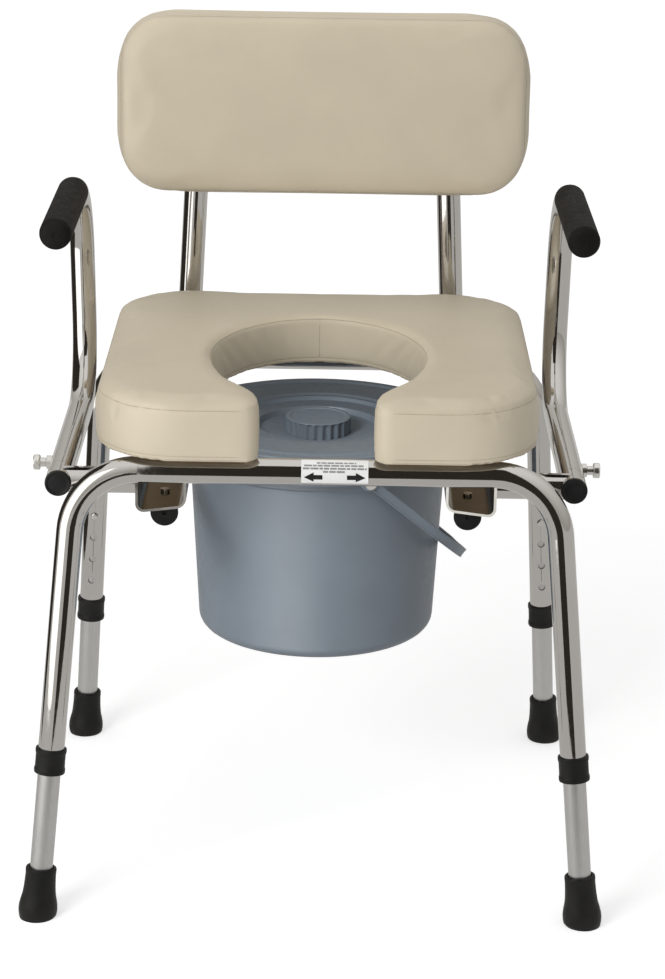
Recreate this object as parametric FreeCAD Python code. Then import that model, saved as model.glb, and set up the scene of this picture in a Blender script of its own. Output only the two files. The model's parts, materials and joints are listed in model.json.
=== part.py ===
# Padded drop-arm commode chair, built as an assembly of tubes, pads, pail and fittings.
# Millimetres. X is across the seat, Y runs from the front (-) to the back (+), Z is up, floor at 0.
import os
import FreeCAD
import Part
from FreeCAD import Vector
from math import atan2, cos, degrees, radians, sin

# Tube sizes
TUBE_R = 12.7
INNER_R = 11.1
WALL = 1.5
BEND = 65.0
BORE_R = TUBE_R - WALL

# Frames: foot point on the floor and corner point of each inverted U
BAR_Z = 445.0
BAR_Y = 203.5
FEET = {"front": (266.1, -244.9), "rear": (258.3, 222.2)}
CORNERS = {"front": (227.7, -BAR_Y), "rear": (233.9, BAR_Y)}
COLLAR_Z = {"front": 158.5, "rear": 151.5}
COLLAR_R = 15.0
COLLAR_LENGTH = 25.0
HOLE_PITCH = 25.4
HOLE_COUNT = 6
FIRST_HOLE = 188.4
BUTTON_HOLE = 3
BUTTON_R = 3.5
HOLE_R = 3.85
EXTENSION_START = 11.0
EXTENSION_ABOVE_BUTTON = 30.0
TIP_HEIGHT = 50.0

# Pail rails, their brackets and hangers
RAIL_X = 146.5
RAIL_Z = 385.4
RAIL_FRONT = -150.0
RAIL_BACK = 216.0
BRACKET_OUT = 171.5
BRACKET_IN = 124.0
BRACKET_FLOOR = 399.0
SHEET = 2.5

# Drop arms
PIVOT_X = 245.5
PIVOT_Z = 425.0
SLEEVE_FRONT = -187.0
SLEEVE_BACK = -156.0
OUTRIGGER_Y = -174.0
ARM_FRONT = -155.5
ARM_UPRIGHT_Y = 140.0
ARM_BEND = 80.0
ARM_TOP_Z = 654.0
ARM_END_Y = -133.0
ARM_LEAN = 1.1
GRIP_R = 15.5
PIN_Y = -122.0
STOP_Y = -145.0

# Back rest
POST_FOOT = (143.5, 231.6, 437.0)
POST_TOP = (128.4, 248.2, 757.0)
BACK_CENTRE_Z = 717.5
BACK_WIDTH = 427.0
BACK_HEIGHT = 187.0
BACK_THICK = 50.0
BACK_CORNER = 49.0
BOARD_THICK = 10.0

# Seat
SEAT_HALF = 211.5
SEAT_FRONT = -231.0
SEAT_REAR = 205.0
SEAT_BOTTOM = 458.5
SEAT_TOP = 522.0
BOARD_Z = 470.0
SEAT_BOARD = 12.0
OPEN_CENTRE_Y = -54.0
OPEN_HALF_X = 105.0
OPEN_HALF_Y = 142.0
GAP_HALF = 54.5

# Pail, lid and bail handle
PAIL_Y = 38.0
PAIL_BOTTOM = 207.0
PAIL_R_LOW = 121.0
PAIL_R_HIGH = 131.3
FLANGE_Z = 399.0
RIM_R = 146.0
RIM_TOP = 422.0
LID_TOP = 428.0
PLASTIC = 2.5
KNOB_R = 34.0
BAIL_TURN = 20.0
BAIL_DROOP = 40.0
BAIL_Z = 404.0
BAIL_HALF = 152.0
BAIL_REACH = 171.5
BAIL_CORNER = 100.0

SIDES = {"left": -1, "right": 1}
X_AXIS = Vector(1, 0, 0)
Y_AXIS = Vector(0, 1, 0)
Z_AXIS = Vector(0, 0, 1)


def save(name, *shapes):
    """Write one node, as one solid or as a group of separate solids."""
    if len(shapes) == 1:
        shape = shapes[0]
    else:
        shape = Part.makeCompound(list(shapes))
    shape.exportStep("parts/" + name + ".step")


def rod(radius, start, end):
    """Solid cylinder between two points."""
    along = end - start
    return Part.makeCylinder(radius, along.Length, start, along)


def ring(outer, inner, start, end):
    """Straight tube between two points."""
    along = (end - start).normalize()
    return rod(outer, start, end).cut(rod(inner, start - along, end + along))


def box(x0, x1, y0, y1, z0, z1):
    """Box between two corners."""
    return Part.makeBox(x1 - x0, y1 - y0, z1 - z0, Vector(x0, y0, z0))


def rounded_path(points, bend):
    """Line path through the points, with an arc of the bend radius at each inner corner."""
    edges = []
    start = points[0]
    for k in range(1, len(points) - 1):
        corner = points[k]
        back = (points[k - 1] - corner).normalize()
        ahead = (points[k + 1] - corner).normalize()
        half = back.getAngle(ahead) / 2
        reach = bend * cos(half) / sin(half)
        first = corner + back * reach
        last = corner + ahead * reach
        middle_way = (back + ahead).normalize()
        middle = corner + middle_way * (bend / sin(half) - bend)
        edges.append(Part.makeLine(start, first))
        edges.append(Part.Arc(first, middle, last).toShape())
        start = last
    edges.append(Part.makeLine(start, points[-1]))
    return Part.Wire(edges)


def sweep(points, bend, radius):
    """Round bar swept along a bent path."""
    along = points[1] - points[0]
    circle = Part.Wire(Part.makeCircle(radius, points[0], along))
    return rounded_path(points, bend).makePipeShell([circle], True, False)


def bent_tube(points, bend, radius):
    """Hollow tube along a bent path."""
    first = points[0] + (points[0] - points[1]).normalize()
    last = points[-1] + (points[-1] - points[-2]).normalize()
    inner = [first] + points[1:-1] + [last]
    return sweep(points, bend, radius).cut(sweep(inner, bend, radius - WALL))


def leg_line(end, side):
    """Foot point and unit vector up the leg."""
    foot = Vector(side * FEET[end][0], FEET[end][1], 0)
    corner = Vector(side * CORNERS[end][0], CORNERS[end][1], BAR_Z)
    return foot, (corner - foot).normalize()


def on_leg(end, side, distance):
    """Point on the leg's centre line, measured up from the floor."""
    foot, up = leg_line(end, side)
    return foot + up * distance


def leg_facing(end, side):
    """Unit vector square to the leg, in the direction that its buttons face."""
    up = leg_line(end, side)[1]
    ahead = Vector(0, 1, 0) if end == "front" else Vector(0, -1, 0)
    return (ahead - up * ahead.dot(up)).normalize()


def hole_distance(number):
    return FIRST_HOLE + HOLE_PITCH * number


def frame(end):
    """Inverted U of one bent tube, with a row of button holes in each leg."""
    points = []
    for side in (-1, 1):
        foot, up = leg_line(end, side)
        bottom = foot + up * ((COLLAR_Z[end] - 5) / up.z)
        corner = Vector(side * CORNERS[end][0], CORNERS[end][1], BAR_Z)
        points += [bottom, corner] if side < 0 else [corner, bottom]
    tube = bent_tube(points, BEND, TUBE_R)
    for side in (-1, 1):
        facing = leg_facing(end, side)
        for number in range(HOLE_COUNT):
            centre = on_leg(end, side, hole_distance(number))
            tube = tube.cut(rod(HOLE_R, centre, centre + facing * 20))
    return tube


def leg_collar(end, side):
    """Plastic sleeve over the bottom of the outer tube, with a lip under the tube's end."""
    foot, up = leg_line(end, side)
    middle = foot + up * (COLLAR_Z[end] / up.z)
    low = middle - up * (COLLAR_LENGTH / 2)
    high = middle + up * (COLLAR_LENGTH / 2)
    body = rod(COLLAR_R, low, high)
    body = body.makeFillet(1.2, [e for e in body.Edges if len(e.Vertexes) == 1])
    tube_end = foot + up * ((COLLAR_Z[end] - 5) / up.z - 0.2)
    body = body.cut(rod(TUBE_R + 0.05, tube_end, high + up))
    return body.cut(rod(INNER_R + 0.35, low - up, high + up))


def leg_extension(end, side):
    """Aluminium inner leg with one button hole."""
    facing = leg_facing(end, side)
    button = hole_distance(BUTTON_HOLE)
    low = on_leg(end, side, EXTENSION_START)
    high = on_leg(end, side, button + EXTENSION_ABOVE_BUTTON)
    tube = ring(INNER_R, INNER_R - WALL, low, high)
    centre = on_leg(end, side, button)
    return tube.cut(rod(HOLE_R, centre, centre + facing * 20))


def leg_tip(end, side):
    """Rubber tip, turned about the leg and cut flat on the floor."""
    foot, up = leg_line(end, side)
    profile = [
        (0, -6),
        (18.4, -6),
        (18.4, 9),
        (16.6, 13),
        (15.6, 15),
        (15.0, 34),
        (14.3, 48),
        (13.6, TIP_HEIGHT),
        (INNER_R + 0.05, TIP_HEIGHT),
        (INNER_R + 0.05, EXTENSION_START - 0.1),
        (0, EXTENSION_START - 0.1),
    ]
    points = [Vector(r, 0, h) for r, h in profile]
    face = Part.Face(Part.makePolygon(points + [points[0]]))
    tip = face.revolve(Vector(0, 0, 0), Z_AXIS, 360)
    tip.Placement = FreeCAD.Placement(foot, FreeCAD.Rotation(Z_AXIS, up))
    below = box(-400, 400, -400, 400, -50, 0)
    return tip.cut(below)


def snap_clip(end, side):
    """Bent leaf spring inside the leg, with the button pressed out of its free end."""
    facing = leg_facing(end, side)
    up = leg_line(end, side)[1]
    near = [
        Vector(8.0, -3.2, 8),
        Vector(8.8, -3.2, 8),
        Vector(8.8, -3.2, -30),
        Vector(-8.4, -3.2, 4),
        Vector(-8.4, -3.2, 5.4),
        Vector(8.0, -3.2, -28),
    ]
    leaf = Part.Face(Part.makePolygon(near + [near[0]])).extrude(Vector(0, 6.4, 0))
    button = Part.makeCylinder(BUTTON_R, 6.4, Vector(8.6, 0, 0), X_AXIS)
    outer = [e for e in button.Edges if len(e.Vertexes) == 1 and e.CenterOfMass.x > 14]
    button = button.makeFillet(1.2, outer)
    clip = leaf.fuse(button).removeSplitter()
    across = up.cross(facing)
    turn = FreeCAD.Matrix(
        facing.x, across.x, up.x, 0,
        facing.y, across.y, up.y, 0,
        facing.z, across.z, up.z, 0,
        0, 0, 0, 1,
    )
    place = FreeCAD.Placement(turn)
    place.Base = on_leg(end, side, hole_distance(BUTTON_HOLE))
    clip.Placement = place
    return clip


def pail_rail(side):
    """Straight tube under the seat that carries the pail's rim."""
    start = Vector(side * RAIL_X, RAIL_FRONT, RAIL_Z)
    end = Vector(side * RAIL_X, RAIL_BACK, RAIL_Z)
    tube = ring(TUBE_R, BORE_R, start, end)
    for head, tip in rail_screw_lines(side):
        tube = tube.cut(rod(2.6, head, tip))
    return tube


def rail_screw_lines(side):
    """Head and tip of the two screws that hold a rail: down at the front, sideways at the rear."""
    front = Vector(side * RAIL_X, -135, BRACKET_FLOOR + SHEET + 0.1)
    rear = Vector(side * (RAIL_X + TUBE_R + 3.5), BAR_Y, RAIL_Z)
    return [
        (front, front - Z_AXIS * 14),
        (rear, rear - X_AXIS * side * 14),
    ]


def pan_screw(head, tip, shank, cap, height):
    """Pan-head screw whose head stands on the point named head."""
    along = (tip - head).normalize()
    top = rod(cap, head - along * height, head)
    outer = [e for e in top.Edges if len(e.Vertexes) == 1 and (e.CenterOfMass - head).Length > height / 2]
    top = top.makeFillet(height * 0.45, outer)
    return top.fuse(rod(shank, head - along * 0.5, tip)).removeSplitter()


def rail_plug(side, y, outward, radius):
    """Moulded end plug with a small dimple in its face."""
    stem = rod(BORE_R - 0.1, Vector(side * RAIL_X, y - outward * 8, RAIL_Z), Vector(side * RAIL_X, y, RAIL_Z))
    face = Vector(side * RAIL_X, y + outward * 0.1, RAIL_Z)
    end = Vector(side * RAIL_X, y + outward * 3.2, RAIL_Z)
    head = rod(radius, face, end)
    edge = [e for e in head.Edges if len(e.Vertexes) == 1 and abs(e.CenterOfMass.y - end.y) < 0.1]
    head = head.makeFillet(1.0, edge)
    stem = stem.fuse(rod(BORE_R - 0.1, Vector(side * RAIL_X, y, RAIL_Z), end))
    dimple = Part.makeSphere(2.2, end)
    return head.fuse(stem).removeSplitter().cut(dimple)


def front_bracket(side):
    """Sheet channel hung from the front bar, open at the top, with its front end cut aslant."""
    out, into = side * BRACKET_OUT, side * BRACKET_IN
    low, high = min(out, into), max(out, into)
    block = box(low, high, -197, -105, BRACKET_FLOOR, 438)
    uprights = [e for e in block.Edges if abs(e.CenterOfMass.z - BRACKET_FLOOR) < 1 and abs(e.CenterOfMass.y + 151) < 1]
    block = block.makeFillet(9, uprights)
    hollow = box(low + SHEET, high - SHEET, -199, -103, BRACKET_FLOOR + SHEET, 440)
    uprights = [
        e for e in hollow.Edges
        if abs(e.CenterOfMass.z - BRACKET_FLOOR - SHEET) < 1 and abs(e.CenterOfMass.y + 151) < 1
    ]
    hollow = hollow.makeFillet(6.5, uprights)
    bracket = block.cut(hollow)
    corners = [
        Vector(side * (BRACKET_OUT + 5), -198, 390),
        Vector(side * (BRACKET_IN - 5), -176, 390),
        Vector(side * (BRACKET_IN - 5), -215, 390),
        Vector(side * (BRACKET_OUT + 5), -215, 390),
    ]
    wedge = Part.Face(Part.makePolygon(corners + [corners[0]])).extrude(Vector(0, 0, 60))
    bracket = bracket.cut(wedge)
    bar = rod(TUBE_R + 0.15, Vector(-200, -BAR_Y, BAR_Z), Vector(200, -BAR_Y, BAR_Z))
    bracket = bracket.cut(bar)
    head, tip = rail_screw_lines(side)[0]
    return bracket.cut(rod(2.6, head + Z_AXIS * 5, tip))


def rear_hanger(side):
    """Flat strap from the rear bar down the outer side of the rail."""
    inner = RAIL_X + TUBE_R + 0.3
    low, high = sorted((side * inner, side * (inner + 3)))
    strap = box(low, high, 191, 217, RAIL_Z - 11, 438)
    bar = rod(TUBE_R + 0.15, Vector(-200, BAR_Y, BAR_Z), Vector(200, BAR_Y, BAR_Z))
    strap = strap.cut(bar)
    head, tip = rail_screw_lines(side)[1]
    return strap.cut(rod(2.6, head + X_AXIS * side * 5, tip))


def rail_screws():
    screws = []
    for side in (-1, 1):
        for head, tip in rail_screw_lines(side):
            screws.append(pan_screw(head, tip, 2.5, 4.6, 3.0))
    return screws


def outrigger(side):
    """Cross tube from the bracket out to the arm's pivot, coped round the pivot sleeve."""
    start = Vector(side * (BRACKET_OUT + 0.1), OUTRIGGER_Y, PIVOT_Z)
    end = Vector(side * (PIVOT_X - 2), OUTRIGGER_Y, PIVOT_Z)
    tube = ring(TUBE_R, BORE_R, start, end)
    sleeve = rod(TUBE_R + 0.15, Vector(side * PIVOT_X, -200, PIVOT_Z), Vector(side * PIVOT_X, -140, PIVOT_Z))
    return tube.cut(sleeve)


def pivot_point(side, y):
    return Vector(side * PIVOT_X, y, PIVOT_Z)


def pivot_sleeve(side):
    """Short fixed sleeve that grips the front of the pivot tube."""
    return ring(TUBE_R, INNER_R + 0.1, pivot_point(side, SLEEVE_FRONT), pivot_point(side, SLEEVE_BACK))


def pivot_tube(side):
    """Fixed inner tube that the arm turns on, with the hole that the lock pin enters."""
    tube = ring(INNER_R, INNER_R - WALL, pivot_point(side, SLEEVE_FRONT), pivot_point(side, 54))
    centre = pivot_point(side, PIN_Y)
    return tube.cut(rod(3.4, centre, centre + X_AXIS * side * 20))


def sleeve_plug(side):
    """Black end cap on the pivot sleeve."""
    head = rod(TUBE_R - 0.1, pivot_point(side, SLEEVE_FRONT - 3), pivot_point(side, SLEEVE_FRONT - 0.1))
    edge = [e for e in head.Edges if len(e.Vertexes) == 1 and e.CenterOfMass.y < SLEEVE_FRONT - 2]
    head = head.makeFillet(1.2, edge)
    stem = rod(INNER_R - WALL - 0.1, pivot_point(side, SLEEVE_FRONT - 1), pivot_point(side, SLEEVE_FRONT + 14))
    return head.fuse(stem).removeSplitter()


def lean(shape, side):
    """Tip a shape outward about the arm's pivot line."""
    shape.rotate(pivot_point(side, 0), Y_AXIS, side * ARM_LEAN)
    return shape


def arm_tube(side):
    """C-shaped arm of one bent tube: lower bar, rear upright and upper bar."""
    x = side * PIVOT_X
    points = [
        Vector(x, ARM_FRONT, PIVOT_Z),
        Vector(x, ARM_UPRIGHT_Y, PIVOT_Z),
        Vector(x, ARM_UPRIGHT_Y, ARM_TOP_Z),
        Vector(x, ARM_END_Y, ARM_TOP_Z),
    ]
    tube = lean(bent_tube(points, ARM_BEND, TUBE_R), side)
    pin = pivot_point(side, PIN_Y)
    tube = tube.cut(rod(4.9, pin, pin + X_AXIS * side * 20))
    stop = pivot_point(side, STOP_Y)
    return tube.cut(rod(2.6, stop, stop - X_AXIS * side * 20))


def arm_grip(side):
    """Foam grip with a closed round end, pushed on the upper bar."""
    x = side * PIVOT_X
    front = Vector(x, ARM_END_Y - 5, ARM_TOP_Z)
    back = Vector(x, 58, ARM_TOP_Z)
    grip = rod(GRIP_R, front, back)
    edge = [e for e in grip.Edges if len(e.Vertexes) == 1 and e.CenterOfMass.y < 0]
    grip = grip.makeFillet(6.0, edge)
    edge = [e for e in grip.Edges if len(e.Vertexes) == 1 and e.CenterOfMass.y > 57]
    grip = grip.makeFillet(1.2, edge)
    bore = rod(TUBE_R + 0.05, Vector(x, ARM_END_Y - 0.1, ARM_TOP_Z), Vector(x, 70, ARM_TOP_Z))
    return lean(grip.cut(bore), side)


def pin_boss(side):
    """Round boss welded on the arm's lower bar, which guides the lock pin."""
    centre = pivot_point(side, PIN_Y)
    out = X_AXIS * side
    boss = ring(6.6, 4.55, centre + out * 8, centre + out * 16.8)
    arm = rod(TUBE_R + 0.1, pivot_point(side, PIN_Y - 30), pivot_point(side, PIN_Y + 30))
    return boss.cut(arm)


def lock_pin(side):
    """Pull pin parked clear of the pivot tube: narrow tip, shaft and round knob."""
    centre = pivot_point(side, PIN_Y)
    out = X_AXIS * side
    tip = rod(3.0, centre + out * 11.5, centre + out * 18)
    shaft = rod(4.5, centre + out * 17.5, centre + out * 24)
    knob = rod(7.4, centre + out * 23, centre + out * 29.5)
    knob = knob.makeFillet(1.2, [e for e in knob.Edges if len(e.Vertexes) == 1])
    return tip.fuse([shaft, knob]).removeSplitter()


def stop_bolt(side):
    """Small bolt in the arm's inner side that rests on the stop tab."""
    centre = pivot_point(side, STOP_Y)
    inward = X_AXIS * -side
    shank = rod(2.5, centre + inward * 11.5, centre + inward * 20)
    head = rod(3.4, centre + inward * 18, centre + inward * 20.5)
    return shank.fuse(head).removeSplitter()


def stop_tab(side):
    """Small plate welded behind the outrigger, just under the stop bolt."""
    low, high = sorted((side * (PIVOT_X - 22), side * (PIVOT_X - 14)))
    plate = box(low, high, OUTRIGGER_Y, STOP_Y + 6, PIVOT_Z - 6.8, PIVOT_Z - 3.8)
    tube = rod(TUBE_R + 0.1, Vector(low - 5, OUTRIGGER_Y, PIVOT_Z), Vector(high + 5, OUTRIGGER_Y, PIVOT_Z))
    return plate.cut(tube)


def post_ends(side):
    foot = Vector(side * POST_FOOT[0], POST_FOOT[1], POST_FOOT[2])
    top = Vector(side * POST_TOP[0], POST_TOP[1], POST_TOP[2])
    return foot, top


def bolt_centre(side, z):
    """Point on the post's centre line at a height."""
    foot, top = post_ends(side)
    return foot + (top - foot) * ((z - foot.z) / (top.z - foot.z))


def recline():
    """Angle of the posts from upright, seen from the side."""
    return atan2(POST_TOP[1] - POST_FOOT[1], POST_TOP[2] - POST_FOOT[2])


def back_forward():
    """Unit vector square to the reclined back, pointing forward."""
    lean_back = recline()
    return Vector(0, -cos(lean_back), sin(lean_back))


def back_bolt_points():
    return [bolt_centre(side, z) for side in (-1, 1) for z in (672, 742)]


def back_post(side):
    """Straight reclined tube that carries the back rest."""
    foot, top = post_ends(side)
    tube = ring(TUBE_R, BORE_R, foot, top)
    for centre in back_bolt_points():
        tube = tube.cut(rod(3.1, centre - back_forward() * 20, centre + back_forward() * 20))
    centre = bolt_centre(side, 462)
    return tube.cut(rod(2.6, centre - Y_AXIS * 20, centre + Y_AXIS * 20))


def back_socket(side):
    """Socket tube behind the rear bar that holds the post's foot."""
    foot, top = post_ends(side)
    along = (top - foot).normalize()
    tube = ring(TUBE_R + 2.0, TUBE_R + 0.1, foot, foot + along * 42)
    bar = rod(TUBE_R + 0.1, Vector(-200, BAR_Y, BAR_Z), Vector(200, BAR_Y, BAR_Z))
    tube = tube.cut(bar)
    centre = bolt_centre(side, 462)
    return tube.cut(rod(2.6, centre, centre + Y_AXIS * 20))


def socket_screws():
    """One screw through the back of each socket into its post."""
    screws = []
    for side in (-1, 1):
        centre = bolt_centre(side, 462)
        head = centre + Y_AXIS * (TUBE_R + 2.4)
        screws.append(pan_screw(head, centre + Y_AXIS * 5, 2.5, 4.6, 3.0))
    return screws


def post_cap(side):
    """Plastic cap in the top end of the back post."""
    foot, top = post_ends(side)
    along = (top - foot).normalize()
    head = rod(TUBE_R, top + along * 0.1, top + along * 3)
    return head.fuse(rod(BORE_R - 0.1, top - along * 12, top + along * 1)).removeSplitter()


def back_place(shape):
    """Move a shape from the upright local frame (front face of the posts at y = 0) to its place."""
    middle = bolt_centre(1, BACK_CENTRE_Z)
    shape.rotate(Vector(0, 0, 0), X_AXIS, -degrees(recline()))
    shape.translate(Vector(0, middle.y, middle.z) + back_forward() * (TUBE_R + 0.3))
    return shape


def rounded_slab(width, height, y0, y1, corner):
    """Slab standing in the XZ plane with round corners."""
    slab = box(-width / 2, width / 2, y0, y1, -height / 2, height / 2)
    corners = [e for e in slab.Edges if abs(e.CenterOfMass.y - (y0 + y1) / 2) < 0.1]
    return slab.makeFillet(corner, corners)


def edges_at(shape, axis, value):
    """Edges that lie wholly in one plane square to an axis."""
    found = []
    for edge in shape.Edges:
        bounds = edge.BoundBox
        low = getattr(bounds, axis + "Min")
        high = getattr(bounds, axis + "Max")
        if abs(low - value) < 0.05 and abs(high - value) < 0.05:
            found.append(edge)
    return found


def back_board():
    """Plywood board behind the back pad."""
    board = rounded_slab(BACK_WIDTH - 16, BACK_HEIGHT - 16, -BOARD_THICK, 0, BACK_CORNER - 8)
    board = back_place(board)
    for centre in back_bolt_points():
        board = board.cut(rod(3.1, centre, centre + back_forward() * 60))
    return board


def back_pad():
    """Padded vinyl back rest, wrapped round the edge of its board."""
    pad = rounded_slab(BACK_WIDTH, BACK_HEIGHT, -BACK_THICK, 0, BACK_CORNER)
    pad = pad.makeFillet(13, edges_at(pad, "Y", -BACK_THICK))
    pad = pad.makeFillet(5, edges_at(pad, "Y", 0))
    recess = rounded_slab(BACK_WIDTH - 15.6, BACK_HEIGHT - 15.6, -BOARD_THICK - 0.2, 1, BACK_CORNER - 8)
    return back_place(pad.cut(recess))


def back_bolts():
    """Four bolts through the posts into the board."""
    bolts = []
    for centre in back_bolt_points():
        head = centre - back_forward() * (TUBE_R + 0.1)
        tip = centre + back_forward() * (TUBE_R + 8)
        bolts.append(pan_screw(head, tip, 3.0, 5.5, 2.6))
    return bolts


def seat_prism(inset, z0, z1):
    """Horseshoe block of the seat: round corners, oval opening and open front."""
    half = SEAT_HALF - inset
    block = box(-half, half, SEAT_FRONT + inset, SEAT_REAR - inset, z0, z1)
    front = [
        e for e in block.Edges
        if abs(e.CenterOfMass.z - (z0 + z1) / 2) < 0.1 and e.CenterOfMass.y < 0
    ]
    block = block.makeFillet(86 - inset, front)
    rear = [
        e for e in block.Edges
        if abs(e.CenterOfMass.z - (z0 + z1) / 2) < 0.1 and e.CenterOfMass.y > 100
        and len(e.Vertexes) == 2 and abs(abs(e.CenterOfMass.x) - half) < 0.1
    ]
    block = block.makeFillet(78 - inset, rear)
    oval = Part.Ellipse(Vector(0, 0, z0), OPEN_HALF_Y + inset, OPEN_HALF_X + inset).toShape()
    opening = Part.Face(Part.Wire(oval)).extrude(Vector(0, 0, z1 - z0))
    opening.rotate(Vector(0, 0, 0), Z_AXIS, 90)
    opening.translate(Vector(0, OPEN_CENTRE_Y, 0))
    gap = GAP_HALF + inset
    channel = box(-gap, gap, SEAT_FRONT - 10, OPEN_CENTRE_Y, z0, z1)
    block = block.cut(opening.fuse(channel))
    lips = [
        e for e in block.Edges
        if abs(e.CenterOfMass.z - (z0 + z1) / 2) < 0.1 and abs(abs(e.CenterOfMass.x) - gap) < 1
        and abs(e.BoundBox.ZLength - (z1 - z0)) < 0.1 and e.BoundBox.XLength < 0.1
        and e.CenterOfMass.y < SEAT_FRONT + inset + 5
    ]
    block = block.makeFillet(18 - inset, lips)
    inner = [
        e for e in block.Edges
        if abs(e.CenterOfMass.z - (z0 + z1) / 2) < 0.1 and abs(abs(e.CenterOfMass.x) - gap) < 1
        and e.BoundBox.XLength < 0.1 and e.BoundBox.YLength < 0.1
        and -190 < e.CenterOfMass.y < -150
    ]
    return block.makeFillet(40, inner)


def seat_board():
    """Plywood board under the seat pad."""
    board = seat_prism(8, BOARD_Z, BOARD_Z + SEAT_BOARD)
    for x, y in clip_places():
        board = board.cut(Part.makeCylinder(2.1, 9, Vector(x, y, BOARD_Z), Z_AXIS))
    return board


def seat_pad():
    """Padded vinyl seat, wrapped round the edge of its board."""
    pad = seat_prism(0, SEAT_BOTTOM, SEAT_TOP)
    pad = pad.makeFillet(15, edges_at(pad, "Z", SEAT_TOP))
    pad = pad.makeFillet(5, edges_at(pad, "Z", SEAT_BOTTOM))
    recess = seat_prism(7.8, SEAT_BOTTOM - 1, BOARD_Z + SEAT_BOARD + 0.2)
    return pad.cut(recess)


def clip_places():
    """Screw point of each seat clip, beside the inner side of its bar."""
    inner = BAR_Y - TUBE_R - 7
    return [(x, y) for y in (-inner, inner) for x in (-118, 118)]


def seat_clip(x, y):
    """Block under the board that hooks against the inner side and top of a bar."""
    towards = 1 if y > 0 else -1
    near, far = sorted((y - towards * 9, y + towards * 13))
    block = box(x - 17, x + 17, near, far, BAR_Z - 4, BOARD_Z - 0.1)
    bar = rod(TUBE_R + 0.35, Vector(x - 30, towards * BAR_Y, BAR_Z), Vector(x + 30, towards * BAR_Y, BAR_Z))
    block = block.cut(bar)
    return block.cut(Part.makeCylinder(2.1, 40, Vector(x, y, BAR_Z - 10), Z_AXIS))


def clip_screw(x, y):
    head = Vector(x, y, BAR_Z - 4.1)
    return pan_screw(head, head + Z_AXIS * 36, 2.0, 4.0, 2.4)


def turned(profile, centre_y):
    """Solid of revolution about the pail's upright axis."""
    points = [Vector(r, 0, z) for r, z in profile]
    face = Part.Face(Part.makePolygon(points + [points[0]]))
    solid = face.revolve(Vector(0, 0, 0), Z_AXIS, 360)
    solid.translate(Vector(0, centre_y, 0))
    return solid


def bail_frame():
    """Unit vectors of the bail: along its pivot line, and out to its grip at rest."""
    turn = radians(BAIL_TURN)
    droop = radians(BAIL_DROOP)
    along = Vector(sin(turn), -cos(turn), 0)
    level = Vector(cos(turn), sin(turn), 0)
    out = level * cos(droop) - Z_AXIS * sin(droop)
    return along, out


def pail():
    """Open pail with a rounded bottom edge, a flange that rides on the rails and two bail lugs."""
    profile = [
        (0, PAIL_BOTTOM + 3),
        (PAIL_R_LOW - 26, PAIL_BOTTOM + 3),
        (PAIL_R_LOW - 20, PAIL_BOTTOM),
        (PAIL_R_LOW - 10, PAIL_BOTTOM),
        (PAIL_R_LOW - 5, PAIL_BOTTOM + 1.5),
        (PAIL_R_LOW - 1.6, PAIL_BOTTOM + 5),
        (PAIL_R_LOW, PAIL_BOTTOM + 10),
        (PAIL_R_HIGH, FLANGE_Z),
        (RIM_R, FLANGE_Z),
        (RIM_R, RIM_TOP),
        (RIM_R - PLASTIC, RIM_TOP),
        (RIM_R - PLASTIC, FLANGE_Z + PLASTIC),
        (PAIL_R_HIGH - PLASTIC, FLANGE_Z + PLASTIC),
        (PAIL_R_LOW - PLASTIC, PAIL_BOTTOM + 11),
        (PAIL_R_LOW - 5, PAIL_BOTTOM + 6.5),
        (PAIL_R_LOW - 9, PAIL_BOTTOM + 5.5),
        (0, PAIL_BOTTOM + 5.5),
    ]
    body = turned(profile, PAIL_Y)
    along = bail_frame()[0]
    centre = Vector(0, PAIL_Y, BAIL_Z)
    inside = rod(RIM_R - 1, Vector(0, PAIL_Y, BAIL_Z - 30), Vector(0, PAIL_Y, BAIL_Z + 30))
    for way in (-1, 1):
        lug = rod(8.0, centre + along * way * 130, centre + along * way * (BAIL_HALF - 3))
        body = body.fuse(lug.cut(inside))
        body = body.cut(rod(2.6, centre + along * way * (RIM_R - 1.5), centre + along * way * 170))
    return body.removeSplitter()


def bail_pivots():
    """Headed pins that hold the bail on the pail's lugs."""
    along = bail_frame()[0]
    centre = Vector(0, PAIL_Y, BAIL_Z)
    pins = []
    for way in (-1, 1):
        outer = centre + along * way * (BAIL_HALF + 2.6)
        shoulder = rod(4.3, centre + along * way * (BAIL_HALF - 2.9), outer)
        head = rod(6.5, outer, outer + along * way * 2.2)
        stem = rod(2.5, centre + along * way * (RIM_R - 1.2), outer)
        pins.append(shoulder.fuse([head, stem]).removeSplitter())
    return pins


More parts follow.
